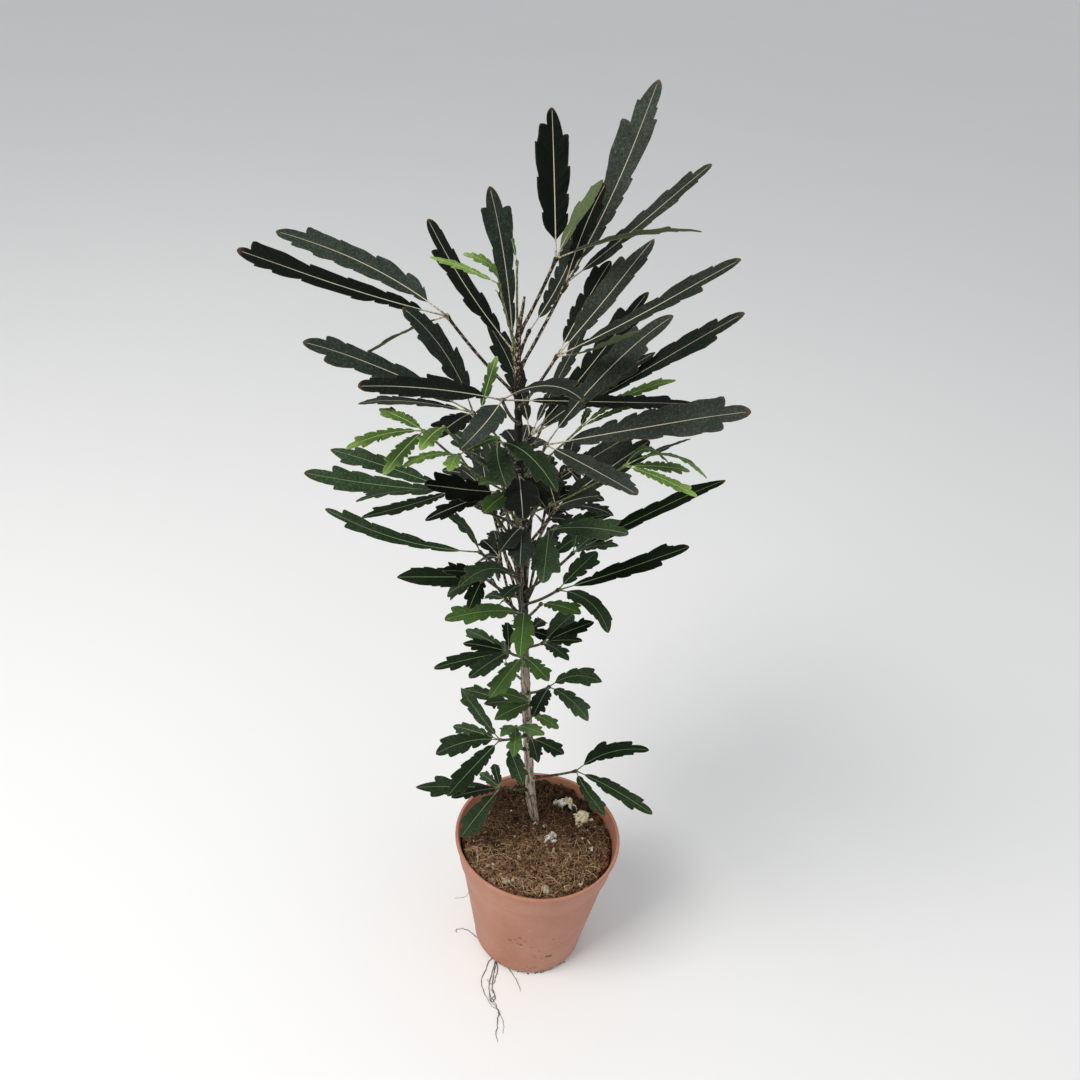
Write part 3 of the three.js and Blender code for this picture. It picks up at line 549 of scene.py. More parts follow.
class Shape:
    """Points and faces gathered from several pieces, with notes on each point for the materials"""

    def __init__(self):
        self.points, self.spots, self.tints, self.rims = [], [], [], []
        self.faces, self.surfaces = [], []
        self.count = 0

    def add(self, points, faces, spot=(0, 0, 0), tint=(0, 0, 0), rim=False, surface=0):
        total = len(points)
        self.points.append(points)
        self.spots.append(np.broadcast_to(np.asarray(spot, float), (total, 3)))
        self.tints.append(np.broadcast_to(np.asarray(tint, float), (total, 3)))
        self.rims.append(np.broadcast_to(rim, total))
        self.faces.extend([corner + self.count for corner in face] for face in faces)
        self.surfaces.extend([surface] * len(faces))
        self.count += total

    def add_tube(self, path, radii, sides, **notes):
        points, faces, spots = tube(path, radii, sides)
        self.add(points, faces, spots, **notes)

    def mesh(self, name):
        mesh = bpy.data.meshes.new(name)
        mesh.from_pydata((np.concatenate(self.points) * MM).tolist(), [], self.faces)
        return mesh


def link(name, data):
    """A new object in the scene"""
    item = bpy.data.objects.new(name, data)
    bpy.context.scene.collection.objects.link(item)
    return item


def add_piece(name, shape, materials, replaced=()):
    """One object of the scene: it rides on the root and stands for the nodes it replaces"""
    mesh = shape.mesh(name)
    for material in materials:
        mesh.materials.append(material)
    mesh.polygons.foreach_set("material_index", np.array(shape.surfaces, np.int32))
    mesh.shade_smooth()
    for label, values in (("spot", shape.spots), ("tint", shape.tints)):
        attribute = mesh.attributes.new(label, "FLOAT_VECTOR", "POINT")
        attribute.data.foreach_set("vector", np.concatenate(values).astype(np.float32).ravel())
    rims = np.concatenate(shape.rims)
    if rims.any():
        ends = np.empty(len(mesh.edges) * 2, np.int32)
        mesh.edges.foreach_get("vertices", ends)
        sharp = mesh.attributes.new("sharp_edge", "BOOLEAN", "EDGE")
        sharp.data.foreach_set("value", rims[ends].reshape(-1, 2).all(axis=1))
    mesh.update()
    piece = link(name, mesh)
    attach(piece, "root")
    if replaced:
        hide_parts(*replaced)
    return piece


# Stem
def stem_at(z):
    """The stem's axis and radius at a height"""
    across, heights, radii = zip(*STEM_AXIS)
    x = np.mean([np.interp(z + shift, heights, across) for shift in STEM_WINDOW], axis=0)
    return x, np.interp(z, heights, radii)


def build_stem(material):
    """The cane, swollen under each leaf and roughened, and the root strand beside its foot"""
    shape = Shape()
    heights = np.arange(STEM_AXIS[0][1], STEM_AXIS[-1][1], STEM_STEP)
    x, radius = stem_at(heights)
    for at, *_ in LEAVES:
        radius = radius + NODE_SWELLING * np.exp(-((heights - at + NODE_DROP) / NODE_SPREAD) ** 2)
    path = np.column_stack([x, np.full(len(heights), STEM_DEPTH), heights])
    points, faces, spots = tube(path, radius, STEM_SIDES)
    centres = np.repeat(path, STEM_SIDES, axis=0)
    along, turn, _ = spots.T
    rough = 0.1 * noise(along, turn * 18, 1.5, SEED) + 0.06 * noise(along * 3, turn * 40, 1.1, 7)
    shape.add(centres + (points - centres) * (1 + rough)[:, None], faces, spots)
    strand = smooth_path(ROOT_STRAND, 8)
    shape.add_tube(strand[:, :3], strand[:, 3], STRAND_SIDES)
    return add_piece("fine_stem", shape, [material], ["stem"])


# Leaves
def own_teeth(rng, length, half, form):
    """Teeth drawn by chance for one side of a leaflet, up to the last one, its shoulder"""
    shoulder = rng.uniform(*SHOULDER)
    last = shoulder - SHOULDER_GAP
    count = max(2, round((last - FIRST_TOOTH) * length / form["spacing"]))
    steps = np.arange(count) + TOOTH_PLACE + rng.uniform(*TOOTH_SHIFT, count)
    tips = FIRST_TOOTH + (last - FIRST_TOOTH) * steps / count
    teeth = []
    for tip in tips:
        reach = np.interp(tip, *zip(*REACH)) * rng.uniform(0.9, 1.05)
        drop = form["tooth"] * rng.choice(TOOTH_DEPTHS, p=TOOTH_ODDS) / half
        teeth.append((tip, reach, min(drop, DEEPEST_DROP * reach)))
    teeth.append((shoulder, rng.uniform(0.9, 1.06), form["shoulder"] * rng.uniform(0.8, 1.2)))
    return teeth


def margin(teeth, length, half):
    """One side of a blade from stalk to tip as rows: where each starts on the midrib, and how far
    along and out it ends. A tooth is the place of its tip, its reach, and the drop behind it."""
    lean = half / length
    ends = [(BLADE_FROM, STALK_EDGE / half)]
    for tip, reach, drop in teeth:
        along, out = ends[-1]
        ends += [(along + (tip - along) * share, out + (reach - out) * rise) for share, rise in TOOTH_RISE]
        ends += [(tip - back * drop * lean, reach - inward * drop) for back, inward in TOOTH_TIP]
    along, valley = ends[-1]
    pointed = np.interp(valley, SHALLOW, [0, 1])
    for share, blunt, sharp in END_LOBE:
        ends.append((along + (1 - along) * share, valley * (blunt + (sharp - blunt) * pointed)))
    ends = np.array(ends + [(1, 0)])
    starts = np.maximum.accumulate(ends[:, 0] - lean * ends[:, 1]) + np.arange(len(ends)) * 1e-5
    return np.column_stack([starts * 0.99 / starts[-1], ends])


def teeth_of(number, index, rng, length, half, form):
    """How grey a leaflet's face is with painted sheen, and the teeth of its left and right sides"""
    if (number, index) in LOOKS:
        grey, *sides = LOOKS[number, index]
        percent = [[(tip, reach, *(drop or [NOTCH])) for tip, reach, *drop in side] for side in sides]
        return grey, [np.array(side) / 100 for side in percent]
    grey = SHEEN_GREYS[number, index] if (number, index) in SHEEN_GREYS else rng.uniform(0, 1) ** SHEEN_SKEW
    return grey, [own_teeth(rng, length, half, form) for _ in range(2)]


def leaflet_frame(hub, tip, bend, roll, arch):
    """How a leaflet's shares become places: its centre line, and the directions up and out"""
    axis = tip - hub
    along = axis / np.linalg.norm(axis)
    flat = LIGHT_SIDE - along * (LIGHT_SIDE @ along)
    flat /= np.linalg.norm(flat)
    handed = 1 if along[0] >= 0 else -1
    turn = math.radians(roll) * handed
    normal = flat * math.cos(turn) + np.cross(along, flat) * math.sin(turn)
    side = np.cross(normal, along)
    offset = normal * 4 * arch + side * handed * 4 * bend

    def at(share):
        share = np.asarray(share, float)[..., None]
        centre = hub + axis * share + offset * share * (1 - share)
        forward = axis + offset * (1 - 2 * share)
        forward = forward / np.linalg.norm(forward, axis=-1, keepdims=True)
        up = normal - forward * (forward @ normal)[..., None]
        up = up / np.linalg.norm(up, axis=-1, keepdims=True)
        return centre, up, np.cross(up, forward)
    return at


def blade_columns(left, right, length, half):
    """The rows of a blade on its midrib, and for each of their points from the left to the right
    margin its share of the length, how far out it lies, and its share of half the width there"""
    starts = np.unique(np.concatenate([left[:, 0], right[:, 0]]))
    kept = [starts[0]]
    for start in starts[1:]:
        if start - kept[-1] > ROW_GAP / length:
            kept.append(start)
    starts = np.array(kept)
    columns = [(starts, 0 * starts, 0 * starts)]
    for rows, sign in ((left, 1), (right, -1)):
        along, wide = (np.interp(starts, rows[:, 0], rows[:, part]) for part in (1, 2))
        for column in COLUMNS:
            share = starts + (along - starts) * column ** COLUMN_LEAN
            made = (share, sign * half * wide * column, np.full(len(starts), column))
            columns.insert(0 if sign > 0 else len(columns), made)
    return starts, *np.array(columns).transpose(1, 2, 0)


def blade_heights(share, out, vein, length, half, young, phases, droop):
    """How far a blade's points lie above its middle: its fold, its waves, its veins and its droop"""
    reach = np.abs(out) / half
    swell, wave = WAVES[young]
    height = FOLD * np.abs(out) - CUP * reach ** 2
    height += swell * (half / 8) * reach ** 2 * np.sin(
        vein * length / wave * math.tau + phases[0] + np.sign(out) * phases[1])
    veins = np.sin(vein * length / VEIN_GAP * math.tau)
    height += VEIN_LIFT * veins * np.clip(reach * 3, 0, 1) * (1 - 0.5 * reach)
    return height - DROOP * (length / 100) * np.clip(share - DROOP_FROM, 0, 1) ** 2 / 0.08 * droop


def blade_faces(rows, columns):
    """The faces of a blade with an upper and an under side, and which of a side's points are rim"""
    total = rows * columns
    flat = grid_faces(rows, columns, False)
    faces = [face[::-1] for face in flat] + [[corner + total for corner in face] for face in flat]
    rim = list(range(columns))
    rim += [row * columns + columns - 1 for row in range(1, rows)]
    rim += [(rows - 1) * columns + column for column in range(columns - 2, -1, -1)]
    rim += [row * columns for row in range(rows - 2, 0, -1)]
    for start, end in zip(rim, rim[1:] + rim[:1]):
        faces.append([start, end, end + total, start + total])
    on_rim = np.zeros(total, bool)
    on_rim[rim] = True
    return faces, on_rim


def add_leaflet(shape, rng, hub, leaflet, number, index, young):
    """A blade with its cut margin and folds, and its midrib and stalk"""
    across, down, depth, width = leaflet[:4]
    bend, roll, arch = (leaflet[4:] + (0, 0, ARCH)[len(leaflet) - 4:])
    tip = place(across, down, depth)
    length = np.linalg.norm(tip - hub)
    half = width / 2
    kind = "young" if young else "narrow"
    if not young and width > NARROW_TO:
        kind = "lobed" if width >= LOBED_FROM else "toothed"
    at = leaflet_frame(hub, tip, bend, roll, arch)
    grey, sides = teeth_of(number, index, rng, length, half, FORMS[kind])
    left, right = [margin(teeth, length, half) for teeth in sides]
    starts, share, out, edge = blade_columns(left, right, length, half)
    vein = np.repeat(starts[:, None], share.shape[1], axis=1)
    phases = rng.uniform(0, math.tau, 4)
    twist = math.radians(rng.uniform(-TWIST, TWIST))
    height = blade_heights(share, out, vein, length, half, young, phases, rng.uniform(-0.2, 1))

    centre, up, side = at(share)
    angle = (twist * share)[..., None]
    turned_side = side * np.cos(angle) + up * np.sin(angle)
    turned_up = up * np.cos(angle) - side * np.sin(angle)
    middle = centre + turned_side * out[..., None] + turned_up * height[..., None]
    thick = BLADE * (1 - 0.5 * np.abs(out) / half)[..., None]
    faces, on_rim = blade_faces(*share.shape)
    spot = np.column_stack([(vein * length / VEIN_GAP).ravel(), out.ravel(), share.ravel()])
    # The tint note holds the edge share, the side, and the grey of the painted sheen
    tint = np.column_stack([edge.ravel(), np.zeros(share.size), np.full(share.size, grey)])
    above, beneath = [(middle + turned_up * way * thick / 2).reshape(-1, 3) for way in (1, -1)]
    shape.add(
        np.concatenate([above, beneath]), faces, np.tile(spot, (2, 1)),
        np.concatenate([tint, tint + [0, 1, 0]]), np.tile(on_rim, 2))

    ribs = np.concatenate([np.linspace(0, STALK_SHARE, 5), np.linspace(0.18, 0.975, 22)])
    line, up, _ = at(ribs)
    thickness = np.interp(ribs, *zip(*RIB_RADII)) * min(1, 0.55 + half / 18)
    lift = np.interp(ribs, *zip(*RIB_LIFT)) + np.interp(ribs, starts, height[:, len(COLUMNS)], left=0)
    shape.add_tube(line + up * lift[:, None], thickness, RIB_SIDES, tint=(1, 0.5, grey), surface=1)


def build_leaf(number, leaf, materials, name, replaced):
    """A petiole from its sheath on the stem to its hub, and the leaflets round the hub"""
    at, hub, tone, leaflets = leaf
    rng = np.random.default_rng(SEED + number)
    shape = Shape()
    x, _ = stem_at(float(at))
    start = np.array([x, STEM_DEPTH, at])
    middle = place(*hub)
    control = (start + middle) / 2
    control[2] -= PETIOLE_SAG * np.linalg.norm(middle - start)
    shares = np.linspace(0, 1, PETIOLE_ROWS)[:, None]
    path = start * (1 - shares) ** 2 + control * 2 * shares * (1 - shares) + middle * shares ** 2
    beyond = (path[-1] - path[-2]) / np.linalg.norm(path[-1] - path[-2])
    path = np.concatenate([path[:-1], [middle + beyond * step for step in HUB_STEPS]])
    reach = np.linalg.norm(middle - start)
    far = np.linalg.norm(path - start, axis=1)
    stops = [0, SHEATH_LENGTH, SHEATH_FADE, reach - HUB_RISE, reach + HUB_STEPS[0]]
    radii = np.interp(far, stops, [
        SHEATH_RADIUS * 1.15, SHEATH_RADIUS, PETIOLE_RADIUS * 1.15, PETIOLE_RADIUS, HUB_RADIUS * 0.8])
    radii[-len(HUB_SHARES):] = HUB_RADIUS * np.array(HUB_SHARES)
    if tone == "young":
        radii = radii * YOUNG_SHARE
    shape.add_tube(path, radii, PETIOLE_SIDES, tint=(1, 1, rng.uniform()), surface=2)
    for index, leaflet in enumerate(leaflets):
        add_leaflet(shape, rng, middle, leaflet, number, index, tone == "young")
    return add_piece(name, shape, materials, replaced)


# Pot
def wall_radius(z):
    """The radius of the pot's outer wall at a height"""
    return WALL_FOOT + (z - BASE_ROUND) * WALL_SLOPE


def rounded(corners):
    """A profile with each corner rounded: corners are radius, height and the rounding's reach"""
    made = []
    for index, (radius, z, reach) in enumerate(corners):
        here = np.array([radius, z])
        if reach == 0:
            made.append(here)
            continue
        before = np.array(corners[index - 1][:2]) - here
        after = np.array(corners[index + 1][:2]) - here
        start = here + before / np.linalg.norm(before) * reach
        end = here + after / np.linalg.norm(after) * reach
        for t in np.linspace(0, 1, 7):
            made.append(start * (1 - t) ** 2 + here * 2 * t * (1 - t) + end * t ** 2)
    return np.array(made)


def build_pot(material):
    """A turned profile from the middle of the underside, up the outside, over the lip and back in"""
    inner_lip = POT_RADIUS - LIP
    foot, neck = BASE_ROUND + 4, COLLAR_BOTTOM - 1
    profile = rounded([
        (AXIS_GAP, 0, 0), (WALL_FOOT - 0.5, 0, 7), (wall_radius(foot), foot, 0),
        (wall_radius(neck), neck, 1.5),
        (wall_radius(COLLAR_BOTTOM) + COLLAR_STEP, COLLAR_BOTTOM + 1, 1.2),
        (POT_RADIUS - LIP_STEP, POT_HEIGHT - LIP_BAND - 1, 0.8), (POT_RADIUS, POT_HEIGHT - LIP_BAND, 0.7),
        (POT_RADIUS, POT_HEIGHT, 1.1), (inner_lip, POT_HEIGHT, 1.1), (inner_lip, POT_HEIGHT - 2, 0.8),
        (wall_radius(COLLAR_BOTTOM) - WALL, COLLAR_BOTTOM, 0),
        (wall_radius(BASE_ROUND) - WALL, BASE_ROUND + FLOOR, 3),
        (BASE_RADIUS - BASE_ROUND, FLOOR, 2), (AXIS_GAP, FLOOR, 0),
    ])
    turns = even_turns(POT_SIDES)
    rings = [circle(radius, turns, z) for radius, z in profile]
    shape = Shape()
    shape.add(np.concatenate(rings), closed_faces(len(profile), POT_SIDES))
    pot = add_piece("fine_pot", shape, [material], ["pot"])
    drill_holes(pot)
    return pot


def drill_holes(pot):
    """Cuts the drain holes through the base"""
    shape = Shape()
    turns = even_turns(DRAIN_SIDES)
    for angle in even_turns(DRAIN_HOLES):
        middle = [DRAIN_CIRCLE * math.cos(angle), DRAIN_CIRCLE * math.sin(angle), 0]
        rings = [circle(DRAIN_RADIUS, turns, z) for z in DRILL_ENDS]
        shape.add(np.concatenate(rings) + middle, closed_faces(2, DRAIN_SIDES))
    drills = link("drills", shape.mesh("drills"))
    cut = pot.modifiers.new("holes", "BOOLEAN")
    cut.operation = "DIFFERENCE"
    cut.solver = "EXACT"
    cut.object = drills
    bpy.context.view_layer.update()
    whole = bpy.data.meshes.new_from_object(pot.evaluated_get(bpy.context.evaluated_depsgraph_get()))
    pot.modifiers.clear()
    pot.data = whole
    bpy.data.objects.remove(drills)


# Soil
def soil_height(x, y):
    """The height of the soil, with lumps, a mound round the stem and a bank against the back wall"""
    lumps = np.sin(x * 0.31 + 1) * np.cos(y * 0.27) + 0.6 * np.sin(x * 0.7 - y * 0.5)
    fine = sum(height * noise(x, y, cell, seed) for height, cell, seed in SOIL_NOISE)
    mound = MOUND * np.exp(-(((x + 1) ** 2 + (y - STEM_DEPTH) ** 2) / MOUND_SPREAD))
    bank = BANK * np.exp(-(((x - 6) / 36) ** 2 + ((y - 54) / 11) ** 2))
    return SOIL_TOP - SOIL_SLOPE * y + SOIL_ROUGH * lumps * 0.7 + fine + mound + bank


def inner_radius(z):
    """The radius of the pot's inner wall at a height"""
    high = wall_radius(COLLAR_BOTTOM) - WALL
    return np.interp(z, [BASE_ROUND + FLOOR, COLLAR_BOTTOM, POT_HEIGHT - 1], [
        wall_radius(BASE_ROUND) - WALL, high, POT_RADIUS - LIP])


def build_soil(material):
    """A body that fills the pot, with a crumbly top"""
    turns = even_turns(SOIL_SIDES)
    rings = [circle(BASE_RADIUS - BASE_ROUND - 1, turns, FLOOR + SOIL_GAP)]
    for z in (BASE_ROUND + FLOOR + 3, 50, COLLAR_BOTTOM):
        rings.append(circle(inner_radius(z) - SOIL_GAP - SOIL_SLACK, turns, z))
    edge = inner_radius(SOIL_TOP - 3) - SOIL_GAP - SOIL_SLACK
    for share in 1 - np.linspace(0, 1, SOIL_ROWS + 1)[:-1]:
        wobble = np.where(share > 0.97, 1 - 0.02 * np.abs(noise(turns * 20, turns * 0, 1.0, 9)), 1)
        x, y = edge * share * np.cos(turns) * wobble, edge * share * np.sin(turns) * wobble
        fall = (2 + np.clip(-np.sin(turns), 0, 1)) * np.clip((share - 0.93) / 0.07, 0, 1) ** 2
        rings.append(np.column_stack([x, y, soil_height(x, y) - fall]))
    shape = Shape()
    shape.add(np.concatenate(rings), closed_faces(len(rings), SOIL_SIDES))
    return add_piece("fine_soil", shape, [material], ["soil"])


def crumb(rng, size, stretch=1.0):
    """An angular little lump: a ball cut back by planes at random, roughened and drawn out"""
    rings, sides = 5, 8
    turns = even_turns(sides)
    balls = [np.array([[0, 0, -1.0]])]
    for ring in range(1, rings):
        tilt = math.pi * ring / rings
        balls.append(circle(math.sin(tilt), turns + 0.5 * ring * math.tau / sides, -math.cos(tilt)))
    balls.append(np.array([[0, 0, 1.0]]))
    ball = np.concatenate(balls)
    planes = rng.normal(size=(CRUMB_PLANES, 3))
    planes /= np.linalg.norm(planes, axis=1)[:, None]
    reach = np.ones(len(ball)) * 1.1
    for plane, cut in zip(planes, rng.uniform(*CRUMB_CUTS, CRUMB_PLANES)):
        reach = np.minimum(reach, cut / np.maximum(ball @ plane, 0.15))
    points = ball * (reach * rng.uniform(0.86, 1.1, len(ball)))[:, None]
    points *= rng.uniform(0.7, 1.3, 3) * [stretch, 1 / math.sqrt(stretch), 1 / math.sqrt(stretch)]
    spin = rng.uniform(0, math.tau)
    x, y, z = points.T
    turned = np.column_stack([
        x * math.cos(spin) - y * math.sin(spin), x * math.sin(spin) + y * math.cos(spin), z])
    last = len(ball) - 1
    faces = []
    for corner in range(sides):
        after = (corner + 1) % sides
        faces.append([0, 1 + after, 1 + corner])
        for ring in range(rings - 2):
            low = 1 + ring * sides
            faces.append([low + corner, low + after, low + sides + after])
            faces.append([low + corner, low + sides + after, low + sides + corner])
        low = 1 + (rings - 2) * sides
        faces.append([low + corner, low + after, last])
    return turned * size / 2, faces


def scatter(rng, count, radius):
    """Random places over the soil"""
    turns = rng.uniform(0, math.tau, count)
    reach = radius * np.sqrt(rng.uniform(0, 1, count))
    return np.column_stack([reach * np.cos(turns), reach * np.sin(turns)])


def scatter_denser(rng, count, front, radius):
    """Random places over the soil, and more of them over its front half"""
    nearer = scatter(rng, count, radius), scatter(rng, front, radius) * [1, 0.5] - [0, SOIL_FRONT]
    return np.concatenate(nearer)


def near_stem(x, y, room):
    """Whether a place on the soil is within some room of the stem"""
    foot, radius = stem_at(SOIL_TOP + 2)
    return math.hypot(x - foot, y - STEM_DEPTH) < radius + room


def shade_and_seed(rng, y, back_shade, back_seed):
    """How light a piece is and its chance of being pale, both less towards the back as painted shade"""
    shade = rng.uniform() * np.interp(y, [-20, 26], [1, back_shade])
    return shade, rng.uniform() * np.interp(y, [0, 25], [1, back_seed])


def build_crumbs(material):
    """Crumbs and drawn-out chips over the soil, darker towards the back with painted shade, dark clods
    behind whose darkness is painted shade, and dirt by the foot of the pot
    """
    rng = np.random.default_rng(SEED + 200)
    shape = Shape()
    places = scatter_denser(rng, *CRUMBS, SOIL_REACH)
    for x, y in places[np.hypot(places[:, 0], places[:, 1]) < SOIL_REACH]:
        size = rng.choice(CRUMB_SIZES, p=CRUMB_ODDS)
        points, faces = crumb(rng, size, rng.choice([1.0, 1.8, 2.8]))
        z = float(soil_height(x, y)) + size * 0.14
        shade, seed = shade_and_seed(rng, y, 0.3, 0.86)
        shape.add(points + [x, y, z], faces, tint=(shade, 0, seed))
    # Clods along the back wall, made dark as painted shade
    for _ in range(CLODS):
        angle, reach = math.radians(rng.uniform(*CLOD_TURNS)), SOIL_REACH - abs(rng.normal(0, 6))
        x, y, size = reach * math.cos(angle), reach * math.sin(angle), rng.uniform(*CLOD_SIZES)
        points, faces = crumb(rng, size, rng.uniform(1, 1.5))
        z = float(soil_height(x, y)) + size * 0.25
        shape.add(points + [x, y, z], faces, tint=(rng.uniform(0, 0.3), 0, 0))
    for _ in range(FOOT_DIRT):
        angle, size = math.radians(rng.normal(*FOOT_DIRT_TURNS)), rng.uniform(0.5, 1.3)
        reach = BASE_RADIUS + rng.uniform(-3, 0.9)
        points, faces = crumb(rng, size, rng.uniform(1, 1.8))
        spot = [reach * math.cos(angle), reach * math.sin(angle), -points[:, 2].min()]
        shape.add(points + spot, faces, tint=(0.35, 0, 0))
    return add_piece("soil_crumbs", shape, [material])


def build_fibres(material):
    """Coir fibres: thin, nearly straight hairs that lie over the soil, more of them in front, and darker
    towards the back with painted shade
    """
    rng = np.random.default_rng(SEED + 300)
    shape = Shape()
    for x, y in scatter_denser(rng, *FIBRES, SOIL_REACH + 0.5):
        length = rng.uniform(*FIBRE_LENGTHS) * rng.uniform(0.5, 1)
        turn = rng.uniform(0, math.tau)
        steps = np.linspace(-0.5, 0.5, len(FIBRE_TAPER))
        angles = turn + rng.normal(0, 0.45) * steps
        way = np.column_stack([np.cos(angles), np.sin(angles)])
        middle = way.sum(axis=0) * length / (2 * len(steps))
        spots = np.array([x, y]) + np.cumsum(way, axis=0) * length / len(steps) - middle
        inside = np.hypot(spots[:, 0], spots[:, 1]).max() < FIBRE_REACH
        if not inside or near_stem(x, y, 2):
            continue
        lift = 0.5 + rng.uniform(0, 1.4) * (1 - (2 * steps) ** 2) + rng.uniform(-0.2, 1.8) * (steps + 0.5)
        ground = soil_height(spots[:, 0], spots[:, 1])
        thick = rng.uniform(*FIBRE_RADII)
        line = np.column_stack([spots, (ground.max() + ground) / 2 + lift])
        shade, seed = shade_and_seed(rng, y, 0.2, 0.82)
        shape.add_tube(line, thick * np.array(FIBRE_TAPER), 4, tint=(shade, 1, seed))
    return add_piece("coir_fibres", shape, [material])


def build_lumps(material):
    """Pale lumps of perlite and lime, each a heap of broken crumbs"""
    rng = np.random.default_rng(SEED + 400)
    shape = Shape()
    for x, y, size, kind in LUMPS:
        base = float(soil_height(x, y))
        for _ in range(int(10 + 2.2 * size)):
            turn = rng.uniform(0, math.tau)
            reach = size * rng.uniform(0, 0.5)
            part = size * rng.uniform(0.16, 0.46)
            z = base + 0.8 + size * 0.28 * (1 - (2 * reach / size) ** 2) + part * 0.1
            points, faces = crumb(rng, part, rng.uniform(1, 1.6))
            spot = [x + reach * math.cos(turn), y + reach * math.sin(turn), z]
            shape.add(points + spot, faces, tint=(LUMP_KINDS[kind], 0, rng.uniform()))
    for x, y in scatter(rng, PALE_BITS, 52):
        points, faces = crumb(rng, rng.uniform(0.8, 1.9))
        z = float(soil_height(x, y)) + 0.5
        shape.add(points + [x, y, z], faces, tint=(rng.choice([0, 0.5, 1]), 0, rng.uniform()))
    return add_piece("pale_lumps", shape, [material])


def build_roots(material):
    """Stray roots from the drain holes over the floor, and a hair from the pot's side"""
    rng = np.random.default_rng(SEED + 500)
    shape = Shape()
    for line in FLOOR_ROOTS:
        path = smooth_path([on_level(across, down, 0) for across, down in line], 9)
        steps = np.arange(len(path))
        for axis in (0, 1):
            for height, cell in ROOT_WAVES:
                path[:, axis] += height * noise(steps, steps * 0, cell, int(rng.integers(1000)))
        lift = np.abs(noise(steps, steps * 0, 5.0, int(rng.integers(1000))))
        path[:, 2] = ROOT_RADIUS + 0.1 + 0.5 * lift
        radii = ROOT_RADIUS * np.linspace(1.2, 0.5, len(path)) * (1 + 0.35 * noise(steps, steps * 0, 1.3, 5))
        shape.add_tube(path, radii, 6)
    shape.add_tube(smooth_path([place(*spot) for spot in SIDE_HAIR], 6), ROOT_RADIUS * 0.6, 5)
    return add_piece("stray_roots", shape, [material])


# Materials
class Nodes:
    """Short ways to add the nodes of one material"""

    def __init__(self, name):
        self.material = bpy.data.materials.new(name)
        self.material.use_nodes = True
        self.tree = self.material.node_tree
        self.shader = self.tree.nodes["Principled BSDF"]

    def join(self, value, socket):
        if isinstance(value, bpy.types.NodeSocket):
            self.tree.links.new(value, socket)
        elif isinstance(value, tuple) and len(value) == 3 and socket.type == "RGBA":
            socket.default_value = (*value, 1)
        else:
            socket.default_value = value

    def node(self, kind, inputs, **settings):
        node = self.tree.nodes.new(kind)
        for key, value in settings.items():
            setattr(node, key, value)
        for key, value in inputs.items():
            self.join(value, node.inputs[key])
        return node

    def math(self, operation, first, second, clamp=False):
        inputs = {0: first, 1: second}
        return self.node("ShaderNodeMath", inputs, operation=operation, use_clamp=clamp).outputs[0]

    def times(self, first, second):
        return self.math("MULTIPLY", first, second)

    def plus(self, first, second, clamp=False):
        return self.math("ADD", first, second, clamp)

    def line(self, start, value, slope):
        """A start, and a value times a slope"""
        return self.plus(start, self.times(value, slope))

    def mix(self, share, first, second):
        return self.node("ShaderNodeMix", {0: share, 6: first, 7: second}, data_type="RGBA").outputs[2]

    def ramp(self, value, low, high, most=None):
        """0 up to low, the most or 1 from high, and a smooth rise between"""
        inputs = {0: value, 1: low, 2: high}
        rise = self.node("ShaderNodeMapRange", inputs, interpolation_type="SMOOTHSTEP").outputs[0]
        return rise if most is None else self.times(rise, most)

    def place(self):
        return self.node("ShaderNodeTexCoord", {}).outputs["Object"]

    def parts(self, vector):
        return self.node("ShaderNodeSeparateXYZ", {0: vector}).outputs

    def note(self, name):
        """The three numbers of a point's note"""
        return self.parts(self.node("ShaderNodeAttribute", {}, attribute_name=name).outputs["Vector"])

    def stretched(self, along, along_scale, turn, turn_scale):
        """A place on a stem or stalk, drawn out along it"""
        inputs = {0: self.times(along, along_scale), 1: self.times(turn, turn_scale), 2: 0.0}
        return self.node("ShaderNodeCombineXYZ", inputs).outputs[0]

    def noise(self, vector, scale, detail=3.0, rough=0.55):
        inputs = {"Vector": vector, "Scale": scale, "Detail": detail, "Roughness": rough}
        return self.node("ShaderNodeTexNoise", inputs).outputs[0]

    def finish(self, colour, roughness, height=None, strength=0.3, depth=0.0005, specular=0.5):
        self.join(colour, self.shader.inputs["Base Color"])
        self.join(roughness, self.shader.inputs["Roughness"])
        self.shader.inputs["Specular IOR Level"].default_value = specular
        if height is not None:
            bump = self.node("ShaderNodeBump", {"Height": height, "Strength": strength, "Distance": depth})
            self.join(bump.outputs[0], self.shader.inputs["Normal"])
        return self.material


